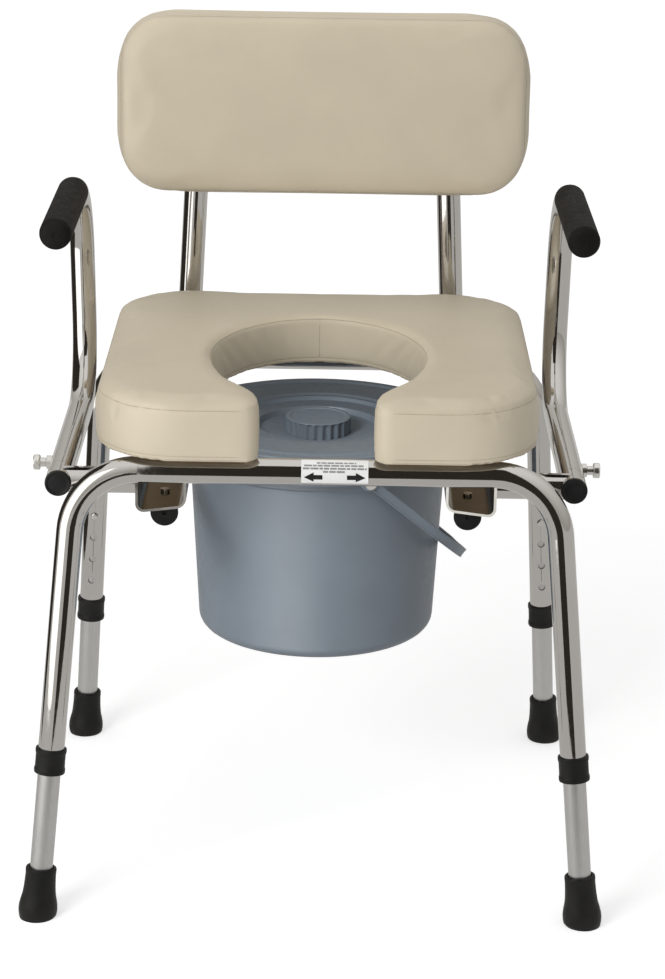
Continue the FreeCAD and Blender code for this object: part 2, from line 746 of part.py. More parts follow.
def pail_handle():
    """Bail of flat strap with a thicker grip, hung from two eyes."""
    path = [
        Vector(-BAIL_HALF, 0, 0),
        Vector(-BAIL_HALF, BAIL_REACH, 0),
        Vector(BAIL_HALF, BAIL_REACH, 0),
        Vector(BAIL_HALF, 0, 0),
    ]
    wire = rounded_path(path, BAIL_CORNER)
    x0 = -BAIL_HALF
    section = Part.makePolygon([
        Vector(x0 - 2, 0, -5),
        Vector(x0 + 2, 0, -5),
        Vector(x0 + 2, 0, 5),
        Vector(x0 - 2, 0, 5),
        Vector(x0 - 2, 0, -5),
    ])
    strap = wire.makePipeShell([section], True, False)
    grip = box(-40, 40, BAIL_REACH - 2, BAIL_REACH + 4, -5.5, 5.5)
    grip = grip.makeFillet(1.5, grip.Edges)
    solids = [grip]
    for way in (-1, 1):
        solids.append(rod(9.0, Vector(way * (BAIL_HALF - 2), 0, 0), Vector(way * (BAIL_HALF + 2), 0, 0)))
    handle = strap.fuse(solids)
    handle = handle.cut(rod(4.35, Vector(-200, 0, 0), Vector(200, 0, 0)))
    handle = handle.removeSplitter()
    along, out = bail_frame()
    square = along.cross(out)
    turn = FreeCAD.Matrix(
        along.x, out.x, square.x, 0,
        along.y, out.y, square.y, PAIL_Y,
        along.z, out.z, square.z, BAIL_Z,
        0, 0, 0, 1,
    )
    handle.Placement = FreeCAD.Placement(turn)
    return handle


def pail_lid():
    """Lid with a raised ring, a stepped well and a ribbed knob in it."""
    skin = PLASTIC
    profile = [
        (0, 409),
        (60, 409),
        (66, 415),
        (78, 417),
        (86, LID_TOP - skin),
        (RIM_R - 6, LID_TOP - skin),
        (RIM_R - 6, FLANGE_Z + skin + 0.4),
        (RIM_R - 3.2, FLANGE_Z + skin + 0.4),
        (RIM_R - 3.2, RIM_TOP + 0.4),
        (RIM_R, RIM_TOP + 0.4),
        (RIM_R, LID_TOP - 2),
        (RIM_R - 2, LID_TOP),
        (85, LID_TOP),
        (76, 419.5),
        (65, 417.5),
        (59, 411.5),
        (0, 411.5),
    ]
    lid = turned(profile, PAIL_Y)
    knob = turned([(0, 410), (KNOB_R + 2, 410), (KNOB_R, 413), (KNOB_R, LID_TOP - 2), (KNOB_R - 3, LID_TOP), (0, LID_TOP)], PAIL_Y)
    for number in range(24):
        angle = radians(number * 15)
        groove = Vector((KNOB_R + 1) * cos(angle), PAIL_Y + (KNOB_R + 1) * sin(angle), 413.5)
        knob = knob.cut(Part.makeCylinder(2.2, 20, groove, Z_AXIS))
    return lid.fuse(knob).removeSplitter()


def label_plate():
    """Thin label wrapped on the front of the front bar."""
    x0, x1 = -14.0, 49.0
    outer = rod(TUBE_R + 0.35, Vector(x0, -BAR_Y, BAR_Z), Vector(x1, -BAR_Y, BAR_Z))
    inner = rod(TUBE_R + 0.05, Vector(x0 - 1, -BAR_Y, BAR_Z), Vector(x1 + 1, -BAR_Y, BAR_Z))
    shell = outer.cut(inner)
    keep = box(x0 - 1, x1 + 1, -30, -7.0, -20, 20)
    keep.rotate(Vector(0, 0, 0), X_AXIS, -22)
    keep.translate(Vector(0, -BAR_Y, BAR_Z))
    return shell.common(keep)


def build():
    os.makedirs("parts", exist_ok=True)
    for end in ("front", "rear"):
        save(end + "_frame", frame(end))
    collars = [leg_collar(end, side) for end in ("front", "rear") for side in (-1, 1)]
    save("leg_collars", *collars)
    for end in ("front", "rear"):
        for name, side in SIDES.items():
            leg = end + "_" + name
            save("leg_extension_" + leg, leg_extension(end, side))
            save("leg_tip_" + leg, leg_tip(end, side))
            save("snap_clip_" + leg, snap_clip(end, side))
    for name, side in SIDES.items():
        save("pail_rail_" + name, pail_rail(side))
        save("front_bracket_" + name, front_bracket(side))
        save("rear_hanger_" + name, rear_hanger(side))
        save("arm_outrigger_" + name, outrigger(side))
        save("pivot_sleeve_" + name, pivot_sleeve(side))
        save("pivot_tube_" + name, pivot_tube(side))
        save("stop_tab_" + name, stop_tab(side))
        save("arm_tube_" + name, arm_tube(side))
        save("arm_grip_" + name, arm_grip(side))
        save("pin_boss_" + name, pin_boss(side))
        save("lock_pin_" + name, lock_pin(side))
        save("stop_bolt_" + name, stop_bolt(side))
        save("back_post_" + name, back_post(side))
        save("back_socket_" + name, back_socket(side))
    save("rail_front_plugs", *[rail_plug(side, RAIL_FRONT, -1, 13.5) for side in (-1, 1)])
    save("rail_rear_plugs", *[rail_plug(side, RAIL_BACK, 1, 12.6) for side in (-1, 1)])
    save("frame_screws", *rail_screws(), *socket_screws())
    save("sleeve_plugs", *[sleeve_plug(side) for side in (-1, 1)])
    save("post_caps", *[post_cap(side) for side in (-1, 1)])
    save("back_board", back_board())
    save("back_pad", back_pad())
    save("back_bolts", *back_bolts())
    save("seat_board", seat_board())
    save("seat_pad", seat_pad())
    save("seat_clips", *[seat_clip(x, y) for x, y in clip_places()])
    save("seat_screws", *[clip_screw(x, y) for x, y in clip_places()])
    save("pail", pail())
    save("pail_lid", pail_lid())
    save("pail_handle", pail_handle())
    save("bail_pivots", *bail_pivots())
    save("label_plate", label_plate())


build()
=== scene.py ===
# Looks of the commode chair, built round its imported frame. Metres, Z up, the chair's front faces -Y.
import json
from math import atan2, cos, exp, hypot, pi, radians, sin, sqrt, tan

import bmesh
import bpy
import numpy as np
from mathutils import Matrix, Vector
from mathutils.bvhtree import BVHTree
from mathutils.kdtree import KDTree

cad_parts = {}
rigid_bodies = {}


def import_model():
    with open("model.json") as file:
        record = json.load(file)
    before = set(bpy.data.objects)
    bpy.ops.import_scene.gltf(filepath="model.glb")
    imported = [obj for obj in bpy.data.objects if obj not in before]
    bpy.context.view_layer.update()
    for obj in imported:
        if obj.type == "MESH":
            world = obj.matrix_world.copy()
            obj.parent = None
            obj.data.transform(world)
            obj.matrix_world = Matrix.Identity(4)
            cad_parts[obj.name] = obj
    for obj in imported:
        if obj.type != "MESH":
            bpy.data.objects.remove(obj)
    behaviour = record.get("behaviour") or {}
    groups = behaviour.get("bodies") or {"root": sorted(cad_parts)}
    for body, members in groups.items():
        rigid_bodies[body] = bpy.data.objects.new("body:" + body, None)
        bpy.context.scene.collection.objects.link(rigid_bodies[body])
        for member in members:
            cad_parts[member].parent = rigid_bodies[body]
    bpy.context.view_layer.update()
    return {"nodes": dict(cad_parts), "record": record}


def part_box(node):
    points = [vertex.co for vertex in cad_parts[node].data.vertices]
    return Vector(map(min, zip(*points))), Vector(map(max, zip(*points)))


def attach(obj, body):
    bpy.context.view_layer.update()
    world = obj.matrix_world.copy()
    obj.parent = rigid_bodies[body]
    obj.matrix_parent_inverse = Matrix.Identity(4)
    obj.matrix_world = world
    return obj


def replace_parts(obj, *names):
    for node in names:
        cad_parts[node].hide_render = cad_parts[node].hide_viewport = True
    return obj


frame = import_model()
nodes = frame["nodes"]
scene = bpy.context.scene
ENDS = ("front", "rear")
SIDES = {"left": -1, "right": 1}

# Camera, as it stands in front of the chair
CAMERA_PLACE = (0.01457, -2.83887, 1.27938)
CAMERA_PITCH = radians(17.906)
CAMERA_YAW = radians(0.023)
CAMERA_ROLL = radians(-0.888)
CAMERA_LENS = 107.78

# Seat outline
SEAT_HALF = 0.2115
SEAT_FRONT = -0.231
SEAT_REAR = 0.205
SEAT_FRONT_CORNER = 0.086
SEAT_REAR_CORNER = 0.078
LIP_CORNER = 0.018
GAP_HALF = 0.0545
OVAL_Y = -0.054
OVAL_HALF_X = 0.105
OVAL_HALF_Y = 0.142

# Legs: points on the floor and at the bar's ends, of the right-hand legs
BAR_Z = 0.445
LEG_FEET = {"front": (0.2661, -0.2449), "rear": (0.2583, 0.2222)}
LEG_CORNERS = {"front": (0.2277, -0.2035), "rear": (0.2339, 0.2035)}
COLLAR_Z = {"front": 0.1585, "rear": 0.1515}
COLLAR_LENGTH = 0.025
PIVOT_X = 0.2455
PIVOT_Z = 0.425

# Back rest, in its own upright frame
BACK_WIDTH = 0.427
BACK_HEIGHT = 0.187
BACK_THICK = 0.050
BACK_CORNER = 0.050
BACK_SEAM = BACK_THICK - 0.0125
POST_TOP = (0.2482, 0.757)
POST_FOOT = (0.2316, 0.437)
BACK_LEAN = atan2(POST_TOP[0] - POST_FOOT[0], POST_TOP[1] - POST_FOOT[1])

# Upholstery
SEAT_SEAM_DROP = 0.0105
SEAT_HEM_RISE = 0.0108
HEM_RADIUS = 0.004
TUCK_WIDTH = 0.006
BULGE_DEPTH = 0.008
SEAM_RADIUS = 0.0005

# Pail and lid: heights over the floor
FLANGE_Z = 0.399
LID_WELL_Z = 0.4115
KNOB_FLUTES = 24

# Bail: its pivot line turned from the front, its hang, and its path in its own frame
BAIL_Z = 0.404
BAIL_TURN = radians(20)
BAIL_DROOP = radians(40)
BAIL_HALF = 0.152
BAIL_REACH = 0.1715
BAIL_CORNER = 0.100
STRAP_HALF = 0.005

# Label: radius of its face, and its arrows on both sides of the middle
LABEL_RADIUS = 0.01318
ARROW_SHAFT = (0.0115, 0.0206)
ARROW_ROOT = 0.0198
ARROW_HEAD = 0.0092


# ---------------------------------------------------------------- materials

class Paint:
    """A node material with a few short-hands."""

    def __init__(self, name):
        self.material = bpy.data.materials.new(name)
        self.material.use_nodes = True
        self.tree = self.material.node_tree
        self.shader = self.tree.nodes["Principled BSDF"]

    def node(self, kind, **settings):
        made = self.tree.nodes.new(kind)
        for key, value in settings.items():
            setattr(made, key, value)
        return made

    def link(self, a, b):
        self.tree.links.new(a, b)

    def set(self, **values):
        for key, value in values.items():
            self.shader.inputs[key.replace("_", " ")].default_value = value

    def place(self, scale=(1, 1, 1)):
        """Object coordinates, stretched per axis."""
        coords = self.node("ShaderNodeTexCoord")
        mapping = self.node("ShaderNodeMapping")
        mapping.inputs["Scale"].default_value = scale
        self.link(coords.outputs["Object"], mapping.inputs["Vector"])
        return mapping.outputs["Vector"]

    def noise(self, scale, detail=3.0, roughness=0.55, stretch=(1, 1, 1)):
        made = self.node("ShaderNodeTexNoise")
        made.inputs["Scale"].default_value = scale
        made.inputs["Detail"].default_value = detail
        made.inputs["Roughness"].default_value = roughness
        self.link(self.place(stretch), made.inputs["Vector"])
        return made.outputs["Fac"]

    def cells(self, scale, feature="F1", stretch=(1, 1, 1)):
        made = self.node("ShaderNodeTexVoronoi", feature=feature)
        made.inputs["Scale"].default_value = scale
        self.link(self.place(stretch), made.inputs["Vector"])
        return made.outputs["Distance"]

    def span(self, value, low, high, start=0.3, end=0.7):
        """Stretch a 0 to 1 value to the range low to high."""
        made = self.node("ShaderNodeMapRange")
        made.inputs["From Min"].default_value = start
        made.inputs["From Max"].default_value = end
        made.inputs["To Min"].default_value = low
        made.inputs["To Max"].default_value = high
        self.link(value, made.inputs["Value"])
        return made.outputs["Result"]

    def colours(self, value, *stops):
        made = self.node("ShaderNodeValToRGB")
        ramp = made.color_ramp
        while len(ramp.elements) < len(stops):
            ramp.elements.new(0.5)
        for element, (place, colour) in zip(ramp.elements, stops):
            element.position = place
            element.color = (*colour, 1)
        self.link(value, made.inputs["Fac"])
        return made.outputs["Color"]

    def bump(self, height, strength, distance, after=None):
        made = self.node("ShaderNodeBump")
        made.inputs["Strength"].default_value = strength
        made.inputs["Distance"].default_value = distance
        self.link(height, made.inputs["Height"])
        if after:
            self.link(after, made.inputs["Normal"])
        return made.outputs["Normal"]

    def base(self, colour):
        self.link(colour, self.shader.inputs["Base Color"])

    def rough(self, value):
        self.link(value, self.shader.inputs["Roughness"])

    def normal(self, value):
        self.link(value, self.shader.inputs["Normal"])


def shades(colour, spread):
    """Darker and lighter version of a colour."""
    return [tuple(c * k for c in colour) for k in (1 - spread, 1 + spread)]


def chrome():
    paint = Paint("chrome_plate")
    paint.set(Metallic=1.0)
    low, high = shades((0.60, 0.585, 0.565), 0.03)
    paint.base(paint.colours(paint.noise(9), (0.35, low), (0.65, high)))
    paint.rough(paint.span(paint.noise(160, 4), 0.035, 0.10))
    paint.normal(paint.bump(paint.noise(38, 2), 0.05, 0.002))
    return paint.material


def plated_sheet():
    paint = Paint("plated_sheet")
    paint.set(Metallic=1.0)
    low, high = shades((0.40, 0.37, 0.32), 0.06)
    paint.base(paint.colours(paint.noise(12, 3), (0.35, low), (0.65, high)))
    paint.rough(paint.span(paint.noise(60, 2, stretch=(1, 0.2, 1)), 0.10, 0.20))
    paint.normal(paint.bump(paint.noise(24, 2), 0.04, 0.001))
    return paint.material


def bracket_sheet():
    """Dark plated sheet, with a painted highlight on the faces of its front end that are cut aslant, which
    face the front and turn a little sideways.
    """
    paint = Paint("bracket_sheet")
    paint.set(Metallic=1.0)
    facing = paint.node("ShaderNodeNewGeometry")
    split = paint.node("ShaderNodeSeparateXYZ")
    paint.link(facing.outputs["Normal"], split.inputs["Vector"])
    across = paint.node("ShaderNodeMath", operation="ABSOLUTE")
    paint.link(split.outputs["X"], across.inputs[0])
    # painted highlight: light colour on faces that face the front and turn about 16 to 23 degrees sideways
    painted_highlight = paint.node("ShaderNodeMath", operation="MULTIPLY", use_clamp=True)
    paint.link(paint.span(across.outputs[0], 0, 1, 0.28, 0.33), painted_highlight.inputs[0])
    paint.link(paint.span(split.outputs["Y"], 1, 0, -0.92, -0.88), painted_highlight.inputs[1])
    mix = paint.node("ShaderNodeMix", data_type="RGBA")
    # colour of the painted highlight
    mix.inputs["B"].default_value = (0.90, 0.88, 0.84, 1)
    low, high = shades((0.245, 0.225, 0.180), 0.06)
    paint.link(paint.colours(paint.noise(12, 3), (0.35, low), (0.65, high)), mix.inputs["A"])
    paint.link(painted_highlight.outputs[0], mix.inputs["Factor"])
    paint.base(mix.outputs["Result"])
    paint.rough(paint.span(paint.noise(60, 2), 0.14, 0.24))
    paint.normal(paint.bump(paint.noise(24, 2), 0.04, 0.001))
    return paint.material


def satin_aluminium():
    paint = Paint("satin_aluminium")
    paint.set(Metallic=1.0)
    drawn = paint.noise(900, 3, stretch=(1, 1, 0.02))
    low, high = shades((0.60, 0.60, 0.59), 0.05)
    paint.base(paint.colours(drawn, (0.3, low), (0.7, high)))
    paint.rough(paint.span(paint.noise(120, 4), 0.30, 0.44))
    paint.normal(paint.bump(drawn, 0.18, 0.0002))
    return paint.material


def zinc_steel():
    paint = Paint("nickel_steel")
    paint.set(Metallic=1.0)
    low, high = shades((0.74, 0.73, 0.70), 0.06)
    paint.base(paint.colours(paint.noise(150, 3), (0.35, low), (0.65, high)))
    paint.rough(paint.span(paint.noise(500, 3), 0.16, 0.30))
    paint.normal(paint.bump(paint.noise(700, 2), 0.06, 0.0003))
    return paint.material


def black_rubber():
    paint = Paint("black_rubber")
    paint.set(Specular_IOR_Level=0.24)
    worn = paint.noise(26, 5)
    paint.base(paint.colours(
        worn, (0.35, (0.0065, 0.0063, 0.006)), (0.75, (0.0135, 0.013, 0.0125)),
    ))
    paint.rough(paint.span(paint.noise(90, 4), 0.40, 0.58))
    grain = paint.bump(paint.noise(1500, 3), 0.25, 0.0002)
    paint.normal(paint.bump(paint.noise(70, 3), 0.10, 0.001, grain))
    return paint.material


def black_foam():
    paint = Paint("black_foam")
    paint.set(Specular_IOR_Level=0.12)
    paint.base(paint.colours(
        paint.noise(40, 4), (0.35, (0.0065, 0.006, 0.0055)), (0.7, (0.0125, 0.0115, 0.0105)),
    ))
    paint.rough(paint.span(paint.noise(200, 4), 0.62, 0.80))
    pores = paint.bump(paint.cells(950), 0.30, 0.0004)
    paint.normal(paint.bump(paint.noise(320, 4), 0.22, 0.0004, pores))
    return paint.material


def black_plastic():
    paint = Paint("black_plastic")
    paint.set(Specular_IOR_Level=0.30)
    paint.base(paint.colours(
        paint.noise(60, 4), (0.35, (0.006, 0.006, 0.0062)), (0.7, (0.012, 0.012, 0.0122)),
    ))
    paint.rough(paint.span(paint.noise(300, 3), 0.34, 0.50))
    paint.normal(paint.bump(paint.noise(1100, 2), 0.15, 0.0002))
    return paint.material


def cream_vinyl():
    paint = Paint("cream_vinyl")
    paint.set(Specular_IOR_Level=0.36, Coat_Weight=0.05, Coat_Roughness=0.32)
    low, high = shades((0.560, 0.492, 0.372), 0.025)
    paint.base(paint.colours(paint.noise(14, 5), (0.35, low), (0.65, high)))
    paint.rough(paint.span(paint.noise(220, 4), 0.40, 0.52))
    grain = paint.bump(paint.cells(760, "SMOOTH_F1"), 0.16, 0.0003)
    fine = paint.bump(paint.noise(2400, 2), 0.12, 0.0001, grain)
    paint.normal(paint.bump(paint.noise(34, 3), 0.07, 0.0016, fine))
    return paint.material


def plywood():
    paint = Paint("plywood")
    grain = paint.noise(150, 6, stretch=(0.04, 1, 1))
    paint.base(paint.colours(grain, (0.3, (0.36, 0.245, 0.14)), (0.7, (0.50, 0.365, 0.225))))
    paint.rough(paint.span(grain, 0.60, 0.78))
    paint.normal(paint.bump(grain, 0.25, 0.0004))
    return paint.material


def slate_plastic():
    paint = Paint("slate_plastic")
    paint.set(Specular_IOR_Level=0.5)
    low, high = shades((0.127, 0.153, 0.182), 0.03)
    paint.base(paint.colours(paint.noise(22, 4), (0.35, low), (0.65, high)))
    paint.rough(paint.span(paint.noise(140, 4), 0.33, 0.45))
    flow = paint.bump(paint.noise(18, 2, stretch=(1, 1, 0.4)), 0.06, 0.003)
    paint.normal(paint.bump(paint.noise(1300, 2), 0.10, 0.0002, flow))
    return paint.material


def seam_painted_shade():
    """Stitch line between two vinyl panels, darker than the vinyl: painted shade of the crease along the
    seam.
    """
    paint = Paint("seam_painted_shade")
    paint.set(Specular_IOR_Level=0.2)
    stitches = paint.noise(420, 2)
    # painted shade: stitch colours well below the vinyl's, standing for the shadow in the seam's crease
    paint.base(paint.colours(stitches, (0.35, (0.390, 0.335, 0.245)), (0.65, (0.460, 0.400, 0.300))))
    paint.rough(paint.span(stitches, 0.60, 0.75))
    paint.normal(paint.bump(stitches, 0.3, 0.0003))
    return paint.material


def label_white():
    paint = Paint("label_white")
    paint.base(paint.colours(paint.noise(90, 3), (0.3, (0.74, 0.74, 0.73)), (0.7, (0.82, 0.82, 0.81))))
    paint.rough(paint.span(paint.noise(600, 3), 0.34, 0.46))
    paint.normal(paint.bump(paint.noise(900, 2), 0.06, 0.0001))
    return paint.material


def label_ink():
    paint = Paint("label_ink")
    paint.set(Specular_IOR_Level=0.15)
    paint.base(paint.colours(paint.noise(400, 3), (0.3, (0.010, 0.010, 0.010)), (0.7, (0.022, 0.022, 0.022))))
    paint.rough(paint.span(paint.noise(500, 2), 0.40, 0.52))
    return paint.material


def label_grey():
    paint = Paint("label_grey")
    paint.base(paint.colours(paint.noise(2600, 2), (0.35, (0.16, 0.16, 0.16)), (0.65, (0.34, 0.34, 0.34))))
    paint.rough(paint.span(paint.noise(500, 2), 0.40, 0.52))
    return paint.material


MATERIALS = {
    "chrome_tube": chrome(),
    "plated_sheet": plated_sheet(),
    "satin_aluminium": satin_aluminium(),
    "zinc_steel": zinc_steel(),
    "black_rubber": black_rubber(),
    "black_foam": black_foam(),
    "black_plastic": black_plastic(),
    "cream_vinyl": cream_vinyl(),
    "plywood": plywood(),
    "slate_plastic": slate_plastic(),
    "white_label": label_white(),
}


# darker seam material: painted shade of the seam creases
SEAM_PAINTED_SHADE = seam_painted_shade()


def dress_nodes():
    """Give every CAD node the material of its slot."""
    for part in frame["record"]["subparts"]:
        piece = nodes[part["node"]]
        if not piece.material_slots:
            piece.data.materials.append(None)
        for slot in piece.material_slots:
            slot.material = MATERIALS[part["material_slot"]]
    bracket = bracket_sheet()
    for name in SIDES:
        nodes["front_bracket_" + name].material_slots[0].material = bracket


# ---------------------------------------------------------------- mesh helpers

def mesh_piece(name, points, faces, slot, body, smooth=True):
    """A mesh object with its finish and its body."""
    mesh = bpy.data.meshes.new(name)
    mesh.from_pydata([tuple(p) for p in points], [], faces)
    mesh.validate()
    mesh.update()
    piece = bpy.data.objects.new(name, mesh)
    scene.collection.objects.link(piece)
    return finish_piece(piece, slot, body, smooth)


def finish_piece(piece, slot, body, smooth=True):
    piece.data.materials.clear()
    piece.data.materials.append(MATERIALS[slot])
    piece.data.polygons.foreach_set("use_smooth", [smooth] * len(piece.data.polygons))
    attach(piece, body)
    return piece


def weighted(piece):
    """Normals led by the large faces, so that flats look flat and rounded edges stay crisp."""
    made = piece.modifiers.new("Normals", "WEIGHTED_NORMAL")
    made.weight = 50
    return piece


def applied(piece):
    """Replace the mesh by what its modifiers make of it."""
    graph = bpy.context.evaluated_depsgraph_get()
    mesh = bpy.data.meshes.new_from_object(piece.evaluated_get(graph))
    piece.modifiers.clear()
    piece.data = mesh
    return piece


def rounded_corners(corners, closed=True, steps=6):
    """Line through 2-D corners (x, y, radius), each turned into an arc of its radius."""
    line = []
    count = len(corners)
    for i, (x, y, radius) in enumerate(corners):
        if radius <= 0 or (not closed and i in (0, count - 1)):
            line.append((x, y))
            continue
        here = np.array((x, y))
        before = np.array(corners[i - 1][:2]) - here
        after = np.array(corners[(i + 1) % count][:2]) - here
        before = before / np.linalg.norm(before)
        after = after / np.linalg.norm(after)
        half = np.arccos(np.clip(before @ after, -1, 1)) / 2
        middle = before + after
        centre = here + middle / np.linalg.norm(middle) * radius / sin(half)
        first = here + before * radius / tan(half) - centre
        last = here + after * radius / tan(half) - centre
        start = atan2(first[1], first[0])
        turn = (atan2(last[1], last[0]) - start + pi) % (2 * pi) - pi
        for k in range(steps + 1):
            angle = start + turn * k / steps
            line.append(tuple(centre + radius * np.array((cos(angle), sin(angle)))))
    return line


def even_line(line, spacing):
    """The closed line again, with its points evenly spaced."""
    points = np.array(list(line) + [line[0]])
    along = np.concatenate([[0], np.cumsum(np.linalg.norm(np.diff(points, axis=0), axis=1))])
    count = int(along[-1] / spacing)
    places = np.linspace(0, along[-1], count, endpoint=False)
    return np.stack([np.interp(places, along, points[:, k]) for k in range(points.shape[1])], axis=1)


def divided(line, spacing):
    """The open line again, with its long runs cut into steps of about the spacing."""
    dense = []
    for a, b in zip(line, line[1:]):
        parts = max(1, int(hypot(b[0] - a[0], b[1] - a[1]) / spacing))
        dense += [(a[0] + (b[0] - a[0]) * k / parts, a[1] + (b[1] - a[1]) * k / parts) for k in range(parts)]
    dense.append(line[-1])
    return dense


def turned(name, profile, place, slot, body, segments=96, ripple=None):
    """Surface of revolution. profile holds (radius, height); place maps local Z-up points to the frame.
    ripple(angle, row) changes the radius."""
    points = []
    rings = []
    for row, (radius, height) in enumerate(profile):
        if radius < 1e-6:
            rings.append([len(points)] * segments)
            points.append(place @ Vector((0, 0, height)))
            continue
        ring = []
        for k in range(segments):
            angle = 2 * pi * k / segments
            r = radius + (ripple(angle, row) if ripple else 0)
            ring.append(len(points))
            points.append(place @ Vector((r * cos(angle), r * sin(angle), height)))
        rings.append(ring)
    faces = []
    for low, high in zip(rings, rings[1:]):
        for k in range(segments):
            after = (k + 1) % segments
            face = list(dict.fromkeys([low[k], low[after], high[after], high[k]]))
            if len(face) > 2:
                faces.append(face)
    return weighted(mesh_piece(name, points, faces, slot, body))


def sleeve_faces(count, size, closed=False):
    """Faces between count rings of size points each, with both ends capped unless closed."""
    faces = []
    for i in range(count if closed else count - 1):
        a = i * size
        b = ((i + 1) % count) * size
        for k in range(size):
            n = (k + 1) % size
            faces.append([a + k, a + n, b + n, b + k])
    if not closed:
        faces.append(list(range(size))[::-1])
        faces.append([(count - 1) * size + k for k in range(size)])
    return faces


def tube_mesh(path, radius, sides=8, closed=False):
    """Points and faces of a round tube along a 3-D path."""
    path = [Vector(p) for p in path]
    count = len(path)
    points = []
    side = None
    for i, here in enumerate(path):
        before = path[i - 1] if closed or i else here
        after = path[(i + 1) % count] if closed or i < count - 1 else here
        ahead = (after - before).normalized()
        if side is None:
            side = ahead.orthogonal().normalized()
        side = (side - ahead * side.dot(ahead)).normalized()
        up = ahead.cross(side)
        for k in range(sides):
            angle = 2 * pi * k / sides
            points.append(here + (side * cos(angle) + up * sin(angle)) * radius)
    return points, sleeve_faces(count, sides, closed)


def upright(x, y, z):
    return Matrix.Translation((x, y, z))


def pointing(place, direction):
    """Matrix that stands a local Z-up shape on a point, along a direction."""
    turn = Vector(direction).normalized().to_track_quat("Z", "Y").to_matrix().to_4x4()
    return Matrix.Translation(place) @ turn


# ---------------------------------------------------------------- cushions

def neck_softened(line, is_neck, rounds):
    """Round the corners of a closed line where is_neck holds."""
    chosen = np.array([is_neck(x, y) for x, y in line])[:, None]
    for _ in range(rounds):
        middle = (np.roll(line, 1, axis=0) + np.roll(line, -1, axis=0)) / 2
        line = np.where(chosen, middle, line)
    return line


def seat_outline():
    """Horseshoe: round-cornered block with an oval opening and an open front."""
    corners = [
        (GAP_HALF, SEAT_FRONT, LIP_CORNER),
        (SEAT_HALF, SEAT_FRONT, SEAT_FRONT_CORNER),
        (SEAT_HALF, SEAT_REAR, SEAT_REAR_CORNER),
        (-SEAT_HALF, SEAT_REAR, SEAT_REAR_CORNER),
        (-SEAT_HALF, SEAT_FRONT, SEAT_FRONT_CORNER),
        (-GAP_HALF, SEAT_FRONT, LIP_CORNER),
    ]
    neck = np.arcsin(GAP_HALF / OVAL_HALF_X)
    for angle in np.linspace(neck, 2 * pi - neck, 70):
        corners.append((-OVAL_HALF_X * sin(angle), OVAL_Y - OVAL_HALF_Y * cos(angle), 0))
    line = even_line(rounded_corners(corners, steps=14), 0.002)
    line = neck_softened(line, lambda x, y: abs(x) < 0.095 and -0.208 < y < -0.135, 90)
    return even_line(line, 0.002)


def back_outline():
    x = BACK_WIDTH / 2
    z = BACK_HEIGHT / 2
    corners = [(x, -z, BACK_CORNER), (x, z, BACK_CORNER), (-x, z, BACK_CORNER), (-x, -z, BACK_CORNER)]
    return even_line(rounded_corners(corners, steps=14), 0.002)


def outward(line):
    """Outward unit normals of a closed line that runs anticlockwise."""
    ahead = np.roll(line, -2, axis=0) - np.roll(line, 2, axis=0)
    normals = np.stack([ahead[:, 1], -ahead[:, 0]], axis=1)
    return normals / np.linalg.norm(normals, axis=1)[:, None]


def prism(name, outline, low, high):
    """Closed block over an outline."""
    count = len(outline)
    points = [(x, y, low) for x, y in outline] + [(x, y, high) for x, y in outline]
    faces = [[k, (k + 1) % count, count + (k + 1) % count, count + k] for k in range(count)]
    faces.append(list(range(count))[::-1])
    faces.append(list(range(count, 2 * count)))
    mesh = bpy.data.meshes.new(name)
    mesh.from_pydata(points, [], faces)
    piece = bpy.data.objects.new(name, mesh)
    scene.collection.objects.link(piece)
    return piece


def remeshed(piece, voxel):
    made = piece.modifiers.new("Even", "REMESH")
    made.mode = "VOXEL"
    made.voxel_size = voxel
    return applied(piece)


def coordinates(mesh):
    flat = np.empty(len(mesh.vertices) * 3)
    mesh.vertices.foreach_get("co", flat)
    return flat.reshape(-1, 3)


def put_coordinates(mesh, points):
    mesh.vertices.foreach_set("co", points.ravel())
    mesh.update()


def outline_tree(outline):
    """Search tree that finds the nearest point of an outline."""
    tree = KDTree(len(outline))
    for k, (x, y) in enumerate(outline):
        tree.insert((x, y, 0), k)
    tree.balance()
    return tree


def shape_pad(piece, outline, low, high, edge, roll, tuck, bulge, raised=None):
    """Turn a block into an upholstered form: rolled upper edge above the seam height edge(x, y), rolled
    over the width roll(x, y), crowned walls, and a tucked underside. raised(x, y) lifts the lower edge."""
    tree = outline_tree(outline)
    normals = outward(outline)
    points = coordinates(piece.data)
    for i, (x, y, z) in enumerate(points):
        _, k, inside = tree.find((x, y, 0))
        share = min(max((z - low) / (high - low), 0), 1)
        seam_z = edge(*outline[k])
        width = roll(*outline[k])
        near = min(inside, width)
        top = seam_z + (high - seam_z) * sqrt(max(width ** 2 - (width - near) ** 2, 0)) / width
        corner = min(inside, HEM_RADIUS)
        bottom = low + HEM_RADIUS - sqrt(max(HEM_RADIUS ** 2 - (HEM_RADIUS - corner) ** 2, 0))
        bottom += tuck * min(max((inside - HEM_RADIUS) / TUCK_WIDTH, 0), 1)
        if raised:
            bottom += raised(*outline[k])
        out = bulge * sin(pi * share) * exp(-inside / BULGE_DEPTH)
        points[i] = (x + normals[k][0] * out, y + normals[k][1] * out, bottom + share * (top - bottom))
    put_coordinates(piece.data, points)


